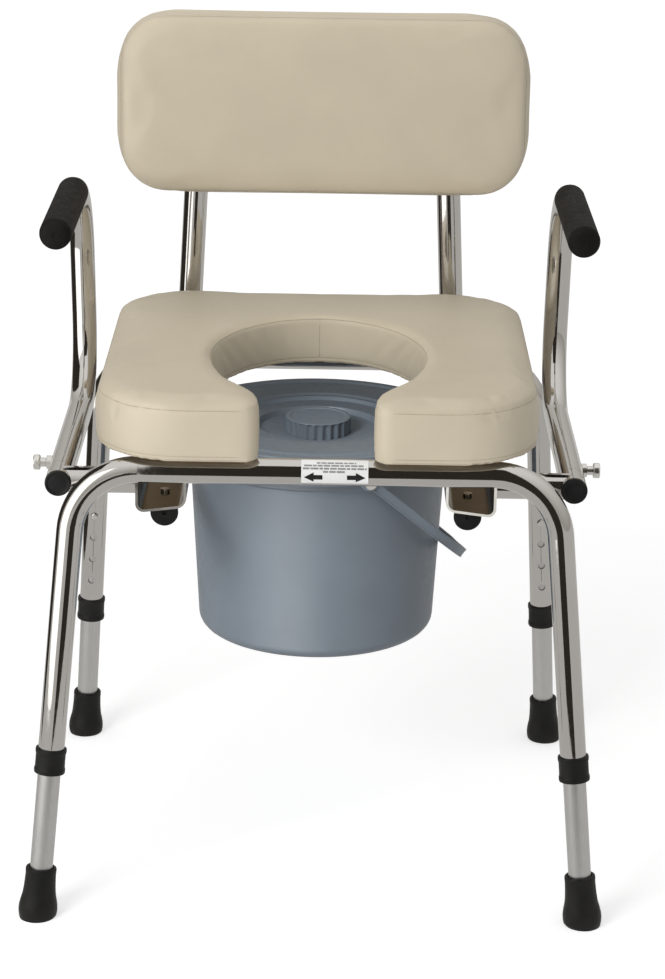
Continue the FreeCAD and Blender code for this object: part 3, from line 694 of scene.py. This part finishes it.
def inflate(piece, held, cap, pressure=4.0, frames=20):
    """Cloth under pressure, with the held points fixed and every move capped, left in the mesh."""
    rest = coordinates(piece.data)
    group = piece.vertex_groups.new(name="held")
    group.add([int(i) for i in np.nonzero(held)[0]], 1.0, "REPLACE")
    cloth = piece.modifiers.new("Cloth", "CLOTH")
    cloth.settings.use_pressure = True
    cloth.settings.uniform_pressure_force = pressure
    cloth.settings.vertex_group_mass = "held"
    cloth.settings.effector_weights.gravity = 0
    cloth.settings.tension_stiffness = 22
    cloth.settings.compression_stiffness = 22
    cloth.settings.bending_stiffness = 1.5
    cloth.point_cache.frame_start = 1
    cloth.point_cache.frame_end = frames
    for number in range(1, frames + 1):
        scene.frame_set(number)
    graph = bpy.context.evaluated_depsgraph_get()
    moved = coordinates(piece.evaluated_get(graph).data)
    piece.modifiers.remove(cloth)
    piece.vertex_groups.remove(group)
    scene.frame_set(1)
    move = moved - rest
    length = np.linalg.norm(move, axis=1)[:, None]
    put_coordinates(piece.data, rest + move * np.minimum(1, cap / np.maximum(length, 1e-9)))


def relaxed(piece, rounds):
    """Even out small steps left by the remesh."""
    made = piece.modifiers.new("Even", "SMOOTH")
    made.factor = 0.5
    made.iterations = rounds
    return applied(piece)


def pinched(piece, outline, height, depth, reach):
    """Draw the walls in along a seam that runs round the outline at height(x, y)."""
    tree = outline_tree(outline)
    normals = outward(outline)
    points = coordinates(piece.data)
    for i, (x, y, z) in enumerate(points):
        _, k, inside = tree.find((x, y, 0))
        if inside < TUCK_WIDTH:
            pull = depth * exp(-((z - height(*outline[k])) / reach) ** 2)
            points[i] = (x - normals[k][0] * pull, y - normals[k][1] * pull, z)
    put_coordinates(piece.data, points)


def subdivided(piece):
    made = piece.modifiers.new("Fine", "SUBSURF")
    made.levels = 1
    made.render_levels = 1
    return applied(piece)


def seam(name, pad, path, radius, body, closed=True, sink=0.45):
    """Stitch line laid on the surface of a pad, in the darker seam colour that paints the shade of its
    crease.
    """
    mesh = pad.data
    tree = BVHTree.FromPolygons([v.co for v in mesh.vertices], [p.vertices for p in mesh.polygons])
    laid = []
    for point in path:
        place, normal, _, _ = tree.find_nearest(Vector(point))
        laid.append(place - normal * radius * sink)
    laid = np.array(laid)
    for _ in range(3):
        middle = (np.roll(laid, 1, axis=0) + laid + np.roll(laid, -1, axis=0)) / 3
        if closed:
            laid = middle
        else:
            laid[1:-1] = middle[1:-1]
    points, faces = tube_mesh(laid, radius, 8, closed)
    piece = mesh_piece(name, points, faces, "cream_vinyl", body)
    # painted shade: the seam takes the darker seam material
    piece.data.materials[0] = SEAM_PAINTED_SHADE
    return piece


def opening_share(x, y):
    """1 along the oval opening, 0 on the outside and at the front lobes."""
    reach = hypot(x / OVAL_HALF_X, (y - OVAL_Y) / OVAL_HALF_Y)
    inside = min(max((1.25 - reach) / 0.12, 0), 1)
    back = min(max((y + 0.17) / 0.09, 0), 1)
    return inside * back * back * (3 - 2 * back)


def seat_cushion():
    low, high = (corner.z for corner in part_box("seat_pad"))
    outline = seat_outline()

    def seam_z(x, y):
        return high - SEAT_SEAM_DROP + 0.0068 * opening_share(x, y)

    def roll(x, y):
        return 0.018 - 0.011 * opening_share(x, y)

    def hem_z(x, y):
        return SEAT_HEM_RISE * opening_share(x, y)

    pad = remeshed(prism("seat_cushion", outline, low, high), 0.004)
    shape_pad(pad, outline, low, high - 0.0020, seam_z, roll, 0.0122, 0.0010, hem_z)
    relaxed(pad, 2)
    inflate(pad, coordinates(pad.data)[:, 2] < low + 0.014, 0.0018)
    relaxed(pad, 1)
    subdivided(pad)
    pinched(pad, outline, seam_z, 0.0008, 0.0022)
    pinched(pad, outline, lambda x, y: low + 0.0075 + hem_z(x, y), 0.0005, 0.0014)
    finish_piece(pad, "cream_vinyl", "seat")
    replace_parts(pad, "seat_pad")
    line = even_line([tuple(p) for p in outline], 0.003)
    seam("seat_top_seam", pad, [(x, y, seam_z(x, y)) for x, y in line], SEAM_RADIUS, "seat")
    for name, lift in (("lower", 0.0042), ("upper", 0.0078)):
        hem = [(x, y, low + lift + hem_z(x, y)) for x, y in line]
        seam("seat_hem_" + name, pad, hem, SEAM_RADIUS, "seat")
    rear = OVAL_Y + OVAL_HALF_Y
    heights = np.linspace(low + 0.020, high - 0.005, 14)
    seam("seat_joint_seam", pad, [(0, rear, z) for z in heights], SEAM_RADIUS, "seat", False)


def back_place():
    """Matrix from the upright frame of the back rest (its rear face at Y = 0) to its place."""
    low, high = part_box("back_pad")
    turn = Matrix.Rotation(-BACK_LEAN, 4, "X")
    half = BACK_HEIGHT / 2
    corners = [turn @ Vector((0, y, z)) for y in (0, -BACK_THICK) for z in (-half, half)]
    rear = max(c.y for c in corners)
    top = max(c.z for c in corners)
    return Matrix.Translation((0, high.y - rear, high.z - top)) @ turn


def back_cushion():
    """Slab with a soft front, built lying down with its front face up, then stood in its place."""
    outline = back_outline()
    pad = remeshed(prism("back_cushion", outline, 0, BACK_THICK), 0.005)
    shape_pad(
        pad, outline, 0, BACK_THICK - 0.0015, lambda x, y: BACK_SEAM, lambda x, y: 0.015, 0.0012, 0.001,
    )
    relaxed(pad, 2)
    inflate(pad, coordinates(pad.data)[:, 2] < 0.010, 0.0020)
    relaxed(pad, 1)
    subdivided(pad)
    pinched(pad, outline, lambda x, y: BACK_SEAM, 0.0007, 0.0022)
    stand = back_place() @ Matrix.Rotation(radians(90), 4, "X")
    pad.data.transform(stand)
    finish_piece(pad, "cream_vinyl", "chair")
    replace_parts(pad, "back_pad")
    line = even_line([tuple(p) for p in outline], 0.003)
    for name, height in (("front", BACK_SEAM), ("rear", 0.0045)):
        rim = [stand @ Vector((x, y, height)) for x, y in line]
        seam("back_seam_" + name, pad, rim, SEAM_RADIUS, "chair")


# ---------------------------------------------------------------- grips, tips and plugs

def arm_grips():
    """Foam sleeves with a domed closed front end and a small moulding dimple."""
    for name, side in SIDES.items():
        low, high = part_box("arm_grip_" + name)
        centre = (low + high) / 2
        radius = (high.x - low.x) / 2
        length = high.y - low.y
        corners = [
            (0, 0.0006, 0), (0.0018, 0.0006, 0.0006), (0.0026, 0, 0.0006), (radius, 0, 0.0085),
            (radius, length, 0.0012), (0.0129, length, 0.0008), (0.0129, length - 0.006, 0),
        ]
        profile = rounded_corners(corners, closed=False, steps=8)
        place = pointing((centre.x, low.y, centre.z), (0, 1, 0))
        grip = turned("arm_foam_" + name, profile, place, "black_foam", "arm_" + name, 72)
        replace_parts(grip, "arm_grip_" + name)


def leg_line(end, side):
    """Foot on the floor and direction up the leg."""
    foot = Vector((side * LEG_FEET[end][0], LEG_FEET[end][1], 0))
    corner = Vector((side * LEG_CORNERS[end][0], LEG_CORNERS[end][1], BAR_Z))
    return foot, (corner - foot).normalized()


def smooth_line(points, steps=4):
    """Smooth curve through 2-D points."""
    points = [np.array(p) for p in points]
    padded = [2 * points[0] - points[1]] + points + [2 * points[-1] - points[-2]]
    line = []
    for a, b, c, d in zip(padded, padded[1:], padded[2:], padded[3:]):
        for k in range(steps):
            t = k / steps
            cubic = (3 * b - a - 3 * c + d) * t ** 3 + (2 * a - 5 * b + 4 * c - d) * t ** 2
            line.append(tuple((2 * b + (c - a) * t + cubic) / 2))
    line.append(tuple(points[-1]))
    return line


def joined(name, pieces, slot, body):
    """One mesh from several pieces."""
    mesh = bmesh.new()
    for piece in pieces:
        mesh.from_mesh(piece.data)
        bpy.data.objects.remove(piece)
    whole = bpy.data.meshes.new(name)
    mesh.to_mesh(whole)
    mesh.free()
    piece = bpy.data.objects.new(name, whole)
    scene.collection.objects.link(piece)
    return weighted(finish_piece(piece, slot, body))


def leg_tips():
    """Rubber tips: narrow neck with a soft lip, flared to a wide foot that is flat on the floor."""
    shape = [
        (0.0184, 0.0024), (0.0189, 0.0065), (0.0187, 0.0115), (0.0177, 0.0170), (0.0165, 0.0220),
        (0.0157, 0.0280), (0.0152, 0.0350), (0.0149, 0.0430), (0.0151, 0.0470), (0.0149, 0.0494),
        (0.0138, 0.0503), (0.0122, 0.0499), (0.0113, 0.0480),
    ]
    profile = [(0, -0.006), (0.0174, -0.006)] + smooth_line(shape)
    for end in ENDS:
        for name, side in SIDES.items():
            foot, up = leg_line(end, side)
            leg = end + "_" + name
            tip = turned("rubber_tip_" + leg, profile, pointing(foot, up), "black_rubber", "leg_" + leg, 64)
            points = coordinates(tip.data)
            below = np.minimum(points[:, 2], 0)[:, None]
            put_coordinates(tip.data, points - np.array(up) * below / up.z)
            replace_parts(tip, "leg_tip_" + leg)


def leg_collars():
    """Collars at the lower ends of the frame legs, with a lip at both ends."""
    half = COLLAR_LENGTH / 2
    shape = [
        (0.0129, half), (0.0146, half - 0.0003), (0.0150, half - 0.0012), (0.0150, half - 0.0044),
        (0.0145, half - 0.0056), (0.0144, 0), (0.0145, 0.0056 - half), (0.0150, 0.0044 - half),
        (0.0150, 0.0010 - half), (0.0144, -half), (0.0116, -half), (0.0116, 0.0030 - half),
    ]
    collars = []
    for end in ENDS:
        for side in SIDES.values():
            foot, up = leg_line(end, side)
            place = pointing(foot + up * (COLLAR_Z[end] / up.z), up)
            collars.append(turned("collar", smooth_line(shape, 3), place, "black_rubber", "chair", 64))
    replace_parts(joined("collar_set", collars, "black_rubber", "chair"), "leg_collars")


def sleeve_plugs():
    """End caps of the pivot sleeves, ribbed round the rim and slightly dished."""
    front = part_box("sleeve_plugs")[0].y
    shape = [
        (0.0118, -0.0032), (0.0126, -0.0030), (0.0127, -0.0012), (0.0124, -0.0004), (0.0114, 0),
        (0.0104, -0.0001), (0.0098, -0.0008), (0.0060, -0.0006), (0.0, -0.0004),
    ]
    line = smooth_line(shape, 3)

    def rib(angle, row):
        radius, height = line[row]
        on_rim = height < -0.0004 and radius > 0.0115
        return -0.0004 * (0.5 + 0.5 * cos(36 * angle)) if on_rim else 0

    plugs = []
    for side in SIDES.values():
        place = pointing((side * PIVOT_X, front, PIVOT_Z), (0, -1, 0))
        plugs.append(turned("plug", line, place, "black_plastic", "chair", 216, rib))
    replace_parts(joined("sleeve_caps", plugs, "black_plastic", "chair"), "sleeve_plugs")


# ---------------------------------------------------------------- pail, lid and bail

def pail_axis():
    low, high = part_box("pail")
    return (low.y + high.y) / 2


def pail_body():
    """Tapered pail with a rolled foot, a stepped neck, a flange and an upright rim."""
    low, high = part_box("pail")
    rim = (high.x - low.x) / 2
    base = low.z
    corners = [
        (0, base + 0.003, 0), (0.094, base + 0.003, 0.002), (0.097, base, 0.002),
        (0.1208, base, 0.0135), (0.1309, FLANGE_Z - 0.010, 0.002), (0.1330, FLANGE_Z - 0.008, 0.0015),
        (0.1335, FLANGE_Z, 0.002), (rim, FLANGE_Z, 0.002), (rim, high.z, 0.0012),
        (rim - 0.0025, high.z, 0.0012), (rim - 0.0025, FLANGE_Z + 0.0025, 0.002),
        (0.1286, FLANGE_Z + 0.0025, 0.003), (0.1185, base + 0.0055, 0.009), (0, base + 0.0055, 0),
    ]
    profile = rounded_corners(corners, closed=False, steps=6)
    pail = turned("pail_body", profile, upright(0, pail_axis(), 0), "slate_plastic", "pail", 160)
    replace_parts(pail, "pail")
    along, _ = bail_frame()
    lug = [(0.0001, 0.0, 0), (0.0082, 0, 0.0012), (0.0078, 0.0045, 0.0008), (0, 0.0045, 0)]
    for way, end in ((1, "front"), (-1, "rear")):
        place = pointing(Vector((0, pail_axis(), BAIL_Z)) + along * way * (rim - 0.0015), along * way)
        turned("bail_lug_" + end, rounded_corners(lug, False, 4), place, "slate_plastic", "pail", 40)


def lid_profile(top, rim):
    """Section of the lid from the well's middle over the top to the rim and back below."""
    return [
        (0, LID_WELL_Z, 0), (0.0570, LID_WELL_Z, 0.002), (0.0622, 0.4215, 0.0018), (0.0800, 0.4224, 0.0015),
        (0.0830, 0.4260, 0.0016), (0.0870, 0.4262, 0.0015), (0.0900, top - 0.0002, 0.0015),
        (rim - 0.018, top - 0.0002, 0.0015), (rim - 0.0155, top - 0.0020, 0.0015),
        (rim - 0.0110, top - 0.0020, 0.0012), (rim - 0.0085, top, 0.0015), (rim, top, 0.0022),
        (rim, 0.4224, 0.0006), (rim - 0.0032, 0.4224, 0.0006), (rim - 0.0032, FLANGE_Z + 0.003, 0.0006),
        (rim - 0.006, FLANGE_Z + 0.003, 0.0006), (rim - 0.006, top - 0.0028, 0.001), (0, 0.4090, 0),
    ]


def pail_lid():
    """Lid with concentric steps down to a well, and a fluted knob in the well."""
    low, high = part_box("pail_lid")
    rim = (high.x - low.x) / 2
    top = high.z
    place = upright(0, pail_axis(), 0)
    profile = rounded_corners(lid_profile(top, rim), closed=False, steps=5)
    lid = turned("lid_shell", profile, place, "slate_plastic", "lid", 160)
    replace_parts(lid, "pail_lid")
    knob = [
        (0.0350, 0.4112, 0), (0.0340, 0.4118, 0.0004), (0.0336, top + 0.0012, 0.0016),
        (0.0290, top + 0.0014, 0.0012), (0.0275, top + 0.0004, 0.0012), (0, top + 0.0004, 0),
    ]
    line = divided(rounded_corners(knob, closed=False, steps=5), 0.0015)

    def flute(angle, row):
        radius, height = line[row]
        upper = min(max((top + 0.0006 - height) / 0.0015, 0), 1) if radius > 0.031 else 0
        return -0.0021 * upper * (0.5 + 0.5 * cos(KNOB_FLUTES * angle)) ** 0.8

    turned("lid_knob", line, place, "slate_plastic", "lid", KNOB_FLUTES * 10, flute)


def bail_frame():
    """Unit vectors of the bail at rest: along its pivot line, and out towards its grip."""
    along = Vector((sin(BAIL_TURN), -cos(BAIL_TURN), 0))
    level = Vector((cos(BAIL_TURN), sin(BAIL_TURN), 0))
    return along, level * cos(BAIL_DROOP) - Vector((0, 0, 1)) * sin(BAIL_DROOP)


def pail_handle():
    """Moulded bail: flat strap with rounded edges and raised borders, eyes and a thicker grip."""
    along, out = bail_frame()
    square = along.cross(out)
    centre = Vector((0, pail_axis(), BAIL_Z))
    path = [
        (BAIL_HALF, 0.004, 0), (BAIL_HALF, BAIL_REACH, BAIL_CORNER),
        (-BAIL_HALF, BAIL_REACH, BAIL_CORNER), (-BAIL_HALF, 0.004, 0),
    ]
    dense = divided(rounded_corners(path, closed=False, steps=20), 0.006)
    section = rounded_corners([
        (-0.0020, -0.005, 0.0016), (0.0022, -0.005, 0.0011), (0.0022, -0.0038, 0.0003),
        (0.0017, -0.0034, 0.0003), (0.0017, 0.0034, 0.0003), (0.0022, 0.0038, 0.0003),
        (0.0022, 0.005, 0.0011), (-0.0020, 0.005, 0.0016),
    ], steps=3)
    points = []
    for i, (u, v) in enumerate(dense):
        before = np.array(dense[max(i - 1, 0)])
        after = np.array(dense[min(i + 1, len(dense) - 1)])
        ahead = (after - before) / np.linalg.norm(after - before)
        side = (ahead[1], -ahead[0])
        grip = min(max((0.052 - abs(u)) / 0.014, 0), 1) if v > BAIL_REACH / 2 else 0
        grip = grip * grip * (3 - 2 * grip)
        for a, b in section:
            if a > 0.001:
                a += grip * (0.0022 - a - 0.0016 * (b / STRAP_HALF) ** 4)
            a *= 1 + 0.7 * grip
            b = b * (1 + 0.14 * grip)
            place = centre + along * (u + side[0] * a) + out * (v + side[1] * a) + square * b
            points.append(place)
    faces = sleeve_faces(len(dense), len(section))
    strap = weighted(mesh_piece("bail_strap", points, faces, "slate_plastic", "bail"))
    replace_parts(strap, "pail_handle")
    eye = [
        (0.0044, -0.0022, 0), (0.009, -0.0022, 0.0009), (0.009, 0.0022, 0.0009), (0.0044, 0.0022, 0),
        (0.0044, -0.0022, 0),
    ]
    for way, end in ((1, "front"), (-1, "rear")):
        place = pointing(centre + along * way * BAIL_HALF, along * way)
        turned("bail_eye_" + end, rounded_corners(eye, False, 4), place, "slate_plastic", "bail", 48)


# ---------------------------------------------------------------- label

def label_patch(points, low, high, parts, ends):
    """Add a patch of the label's face between two heights, measured round the bar from its level.
    ends(share) gives the patch's left and right at a share of that height. Returns its faces."""
    edge_low, edge_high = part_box("label_plate")
    middle = (edge_low.x + edge_high.x) / 2
    axis_y = LEG_CORNERS["front"][1]
    start = len(points)
    for k in range(parts + 1):
        share = k / parts
        angle = (low + (high - low) * share) / LABEL_RADIUS
        y = axis_y - LABEL_RADIUS * cos(angle)
        z = BAR_Z + LABEL_RADIUS * sin(angle)
        points += [(middle + x, y, z) for x in ends(share)]
    return [[start + 2 * k, start + 2 * k + 1, start + 2 * k + 3, start + 2 * k + 2] for k in range(parts)]


def label_arrows():
    points = []
    faces = []
    for side in (-1, 1):
        def head(share):
            tip = ARROW_ROOT + ARROW_HEAD * (1 - abs(2 * share - 1))
            return sorted((side * ARROW_ROOT, side * tip))

        def shaft(share):
            return sorted(side * x for x in ARROW_SHAFT)

        faces += label_patch(points, -0.0060, 0.0036, 12, head)
        faces += label_patch(points, -0.0035, 0.0011, 4, shaft)
    arrows = mesh_piece("label_arrows", points, faces, "white_label", "chair")
    arrows.data.materials[0] = label_ink()


def label_dashes():
    """Rows of short dashes in place of lettering."""
    points = []
    faces = []
    rows = (
        (0.0142, -0.017, 0.020), (0.0112, -0.029, 0.027), (0.0082, -0.030, 0.030), (0.0052, -0.011, 0.010),
    )
    for row, (height, place, stop) in enumerate(rows):
        count = 0
        while place < stop:
            width = 0.0034 + 0.0014 * ((count * 5 + row * 3) % 4)
            ends = (place, min(place + width, stop))
            faces += label_patch(points, height - 0.0018, height, 3, lambda share: ends)
            place += width + 0.0009
            count += 1
    dashes = mesh_piece("label_dashes", points, faces, "white_label", "chair")
    dashes.data.materials[0] = label_grey()


# ---------------------------------------------------------------- studio

def camera():
    ahead = Vector((
        sin(CAMERA_YAW) * cos(CAMERA_PITCH), cos(CAMERA_YAW) * cos(CAMERA_PITCH), -sin(CAMERA_PITCH),
    ))
    level = Vector((cos(CAMERA_YAW), -sin(CAMERA_YAW), 0))
    down = ahead.cross(level)
    x_axis = level * cos(CAMERA_ROLL) + down * sin(CAMERA_ROLL)
    y_axis = level * sin(CAMERA_ROLL) - down * cos(CAMERA_ROLL)
    turn = Matrix((x_axis, y_axis, -ahead)).transposed().to_4x4()
    lens = bpy.data.cameras.new("camera")
    lens.lens = CAMERA_LENS
    lens.sensor_width = 36
    lens.clip_start = 0.05
    lens.clip_end = 200
    stand = bpy.data.objects.new("camera", lens)
    stand.matrix_world = Matrix.Translation(CAMERA_PLACE) @ turn
    scene.collection.objects.link(stand)
    scene.camera = stand


def glowing(name, colour, strength):
    material = bpy.data.materials.new(name)
    material.use_nodes = True
    tree = material.node_tree
    tree.nodes.clear()
    shader = tree.nodes.new("ShaderNodeEmission")
    shader.inputs["Color"].default_value = (*colour, 1)
    shader.inputs["Strength"].default_value = strength
    output = tree.nodes.new("ShaderNodeOutputMaterial")
    tree.links.new(shader.outputs["Emission"], output.inputs["Surface"])
    return material


def only_reflected(piece):
    piece.visible_camera = False
    piece.visible_diffuse = False
    piece.visible_shadow = False
    piece.visible_transmission = False
    piece.visible_volume_scatter = False


def card(name, corners, colour, strength):
    """Studio card that only shows in reflections."""
    mesh = bpy.data.meshes.new(name)
    mesh.from_pydata(corners, [], [list(range(len(corners)))])
    piece = bpy.data.objects.new(name, mesh)
    scene.collection.objects.link(piece)
    mesh.materials.append(glowing(name, colour, strength))
    only_reflected(piece)


def standing(name, x0, y0, x1, y1, low, high, colour, strength):
    card(name, [(x0, y0, low), (x1, y1, low), (x1, y1, high), (x0, y0, high)], colour, strength)


def reflections():
    """What the chromium sees: grey floor, two dark screens, one white panel and a pale room."""
    size = 14
    floor = [(-size, -size, 0.0006), (size, -size, 0.0006), (size, size, 0.0006), (-size, size, 0.0006)]
    card("mirror_floor", floor, (0.60, 0.59, 0.57), 1.0)
    standing("mirror_dark_front", -0.22, -0.95, 0.50, -0.95, 0.0, 1.9, (0.035, 0.030, 0.025), 1.0)
    standing("mirror_dark_left", -0.95, -0.12, -0.80, 0.85, 0.0, 1.5, (0.035, 0.030, 0.025), 1.0)
    standing("mirror_white_left", -1.75, -0.40, -0.80, -1.35, 0.0, 1.8, (1.0, 0.985, 0.96), 1.9)
    ball = bmesh.new()
    bmesh.ops.create_uvsphere(ball, u_segments=48, v_segments=24, radius=12)
    mesh = bpy.data.meshes.new("mirror_room")
    ball.to_mesh(mesh)
    ball.free()
    room = bpy.data.objects.new("mirror_room", mesh)
    scene.collection.objects.link(room)
    material = glowing("mirror_room", (1, 1, 1), 1.0)
    tree = material.node_tree
    coords = tree.nodes.new("ShaderNodeTexCoord")
    split = tree.nodes.new("ShaderNodeSeparateXYZ")
    reach = tree.nodes.new("ShaderNodeMapRange")
    reach.inputs["From Min"].default_value = 0
    reach.inputs["From Max"].default_value = 12
    ramp = tree.nodes.new("ShaderNodeValToRGB")
    ramp.color_ramp.elements[0].color = (0.42, 0.40, 0.37, 1)
    ramp.color_ramp.elements[1].color = (0.95, 0.94, 0.92, 1)
    ramp.color_ramp.elements[1].position = 0.85
    tree.links.new(coords.outputs["Object"], split.inputs["Vector"])
    tree.links.new(split.outputs["Z"], reach.inputs["Value"])
    tree.links.new(reach.outputs["Result"], ramp.inputs["Fac"])
    tree.links.new(ramp.outputs["Color"], tree.nodes["Emission"].inputs["Color"])
    mesh.materials.append(material)
    only_reflected(room)


def backdrop():
    """Pale floor that runs to the horizon."""
    paint = Paint("studio_floor")
    paint.set(Roughness=0.9, Specular_IOR_Level=0.0, Base_Color=(0.80, 0.80, 0.80, 1))
    paint.set(Emission_Color=(1, 1, 1, 1))
    reach = paint.node("ShaderNodeVectorMath", operation="LENGTH")
    paint.link(paint.place(), reach.inputs[0])
    seen = paint.span(reach.outputs["Value"], 0.53, 0.64, 0.5, 1.7)
    paths = paint.node("ShaderNodeLightPath")
    mix = paint.node("ShaderNodeMix")
    mix.inputs["A"].default_value = 0.15
    paint.link(paths.outputs["Is Camera Ray"], mix.inputs["Factor"])
    paint.link(seen, mix.inputs["B"])
    paint.link(mix.outputs["Result"], paint.shader.inputs["Emission Strength"])
    size = 60
    mesh = bpy.data.meshes.new("studio_floor")
    corners = [(-size, -size, 0), (size, -size, 0), (size, size, 0), (-size, size, 0)]
    mesh.from_pydata(corners, [], [[0, 1, 2, 3]])
    floor = bpy.data.objects.new("studio_floor", mesh)
    mesh.materials.append(paint.material)
    scene.collection.objects.link(floor)
    floor.visible_glossy = False
    return floor


def softbox(name, place, target, width, height, power):
    light = bpy.data.lights.new(name, "AREA")
    light.shape = "RECTANGLE"
    light.size = width
    light.size_y = height
    light.energy = power
    stand = bpy.data.objects.new(name, light)
    direction = Vector(target) - Vector(place)
    stand.matrix_world = Matrix.Translation(place) @ direction.to_track_quat("-Z", "Y").to_matrix().to_4x4()
    scene.collection.objects.link(stand)
    stand.visible_camera = False
    stand.visible_glossy = False
    return stand


def pail_light():
    """Soft lights from the front left that fall on the pail, lid, bail and pail rails alone. The low one
    is seen in gloss only, like a bright floor in front of the pail."""
    lit = bpy.data.collections.new("pail_lit")
    for piece in scene.objects:
        if piece.name.startswith(("pail_", "lid_", "bail_")) and piece.type == "MESH":
            lit.objects.link(piece)
    target = (0, pail_axis(), 0.34)
    high = softbox("pail_light", (-0.95, -1.30, 1.45), target, 0.6, 0.6, 25)
    low = softbox("pail_low_light", (-0.76, -1.40, -0.70), target, 1.5, 1.0, 25)
    low.visible_diffuse = False
    for light in (high, low):
        light.visible_glossy = True
        light.light_linking.receiver_collection = lit
        light.light_linking.blocker_collection = lit


def studio():
    world = bpy.data.worlds.new("studio")
    world.use_nodes = True
    tree = world.node_tree
    soft = tree.nodes["Background"]
    soft.inputs["Strength"].default_value = 0.50
    seen = tree.nodes.new("ShaderNodeBackground")
    paths = tree.nodes.new("ShaderNodeLightPath")
    mix = tree.nodes.new("ShaderNodeMixShader")
    for node in (soft, seen):
        node.inputs["Color"].default_value = (1, 1, 1, 1)
    tree.links.new(paths.outputs["Is Camera Ray"], mix.inputs["Fac"])
    tree.links.new(soft.outputs["Background"], mix.inputs[1])
    tree.links.new(seen.outputs["Background"], mix.inputs[2])
    tree.links.new(mix.outputs["Shader"], tree.nodes["World Output"].inputs["Surface"])
    scene.world = world
    scene.view_settings.view_transform = "Standard"
    scene.view_settings.look = "None"
    floor = backdrop()
    reflections()
    softbox("key", (-1.35, -1.95, 1.35), (0, 0, 0.45), 1.1, 1.1, 31)
    softbox("front", (0.9, -3.4, 0.9), (0, 0, 0.45), 2.0, 1.2, 6)
    overhead = softbox("overhead", (-0.2, 0.5, 2.4), (0, 0.05, 0.45), 1.2, 1.2, 11)
    kept_dark = bpy.data.collections.new("not_lit_from_above")
    kept_dark.objects.link(floor)
    kept_dark.collection_objects[0].light_linking.link_state = "EXCLUDE"
    overhead.light_linking.receiver_collection = kept_dark


camera()
studio()
dress_nodes()
seat_cushion()
back_cushion()
arm_grips()
pail_body()
pail_lid()
pail_handle()
leg_tips()
leg_collars()
sleeve_plugs()
label_arrows()
label_dashes()
pail_light()
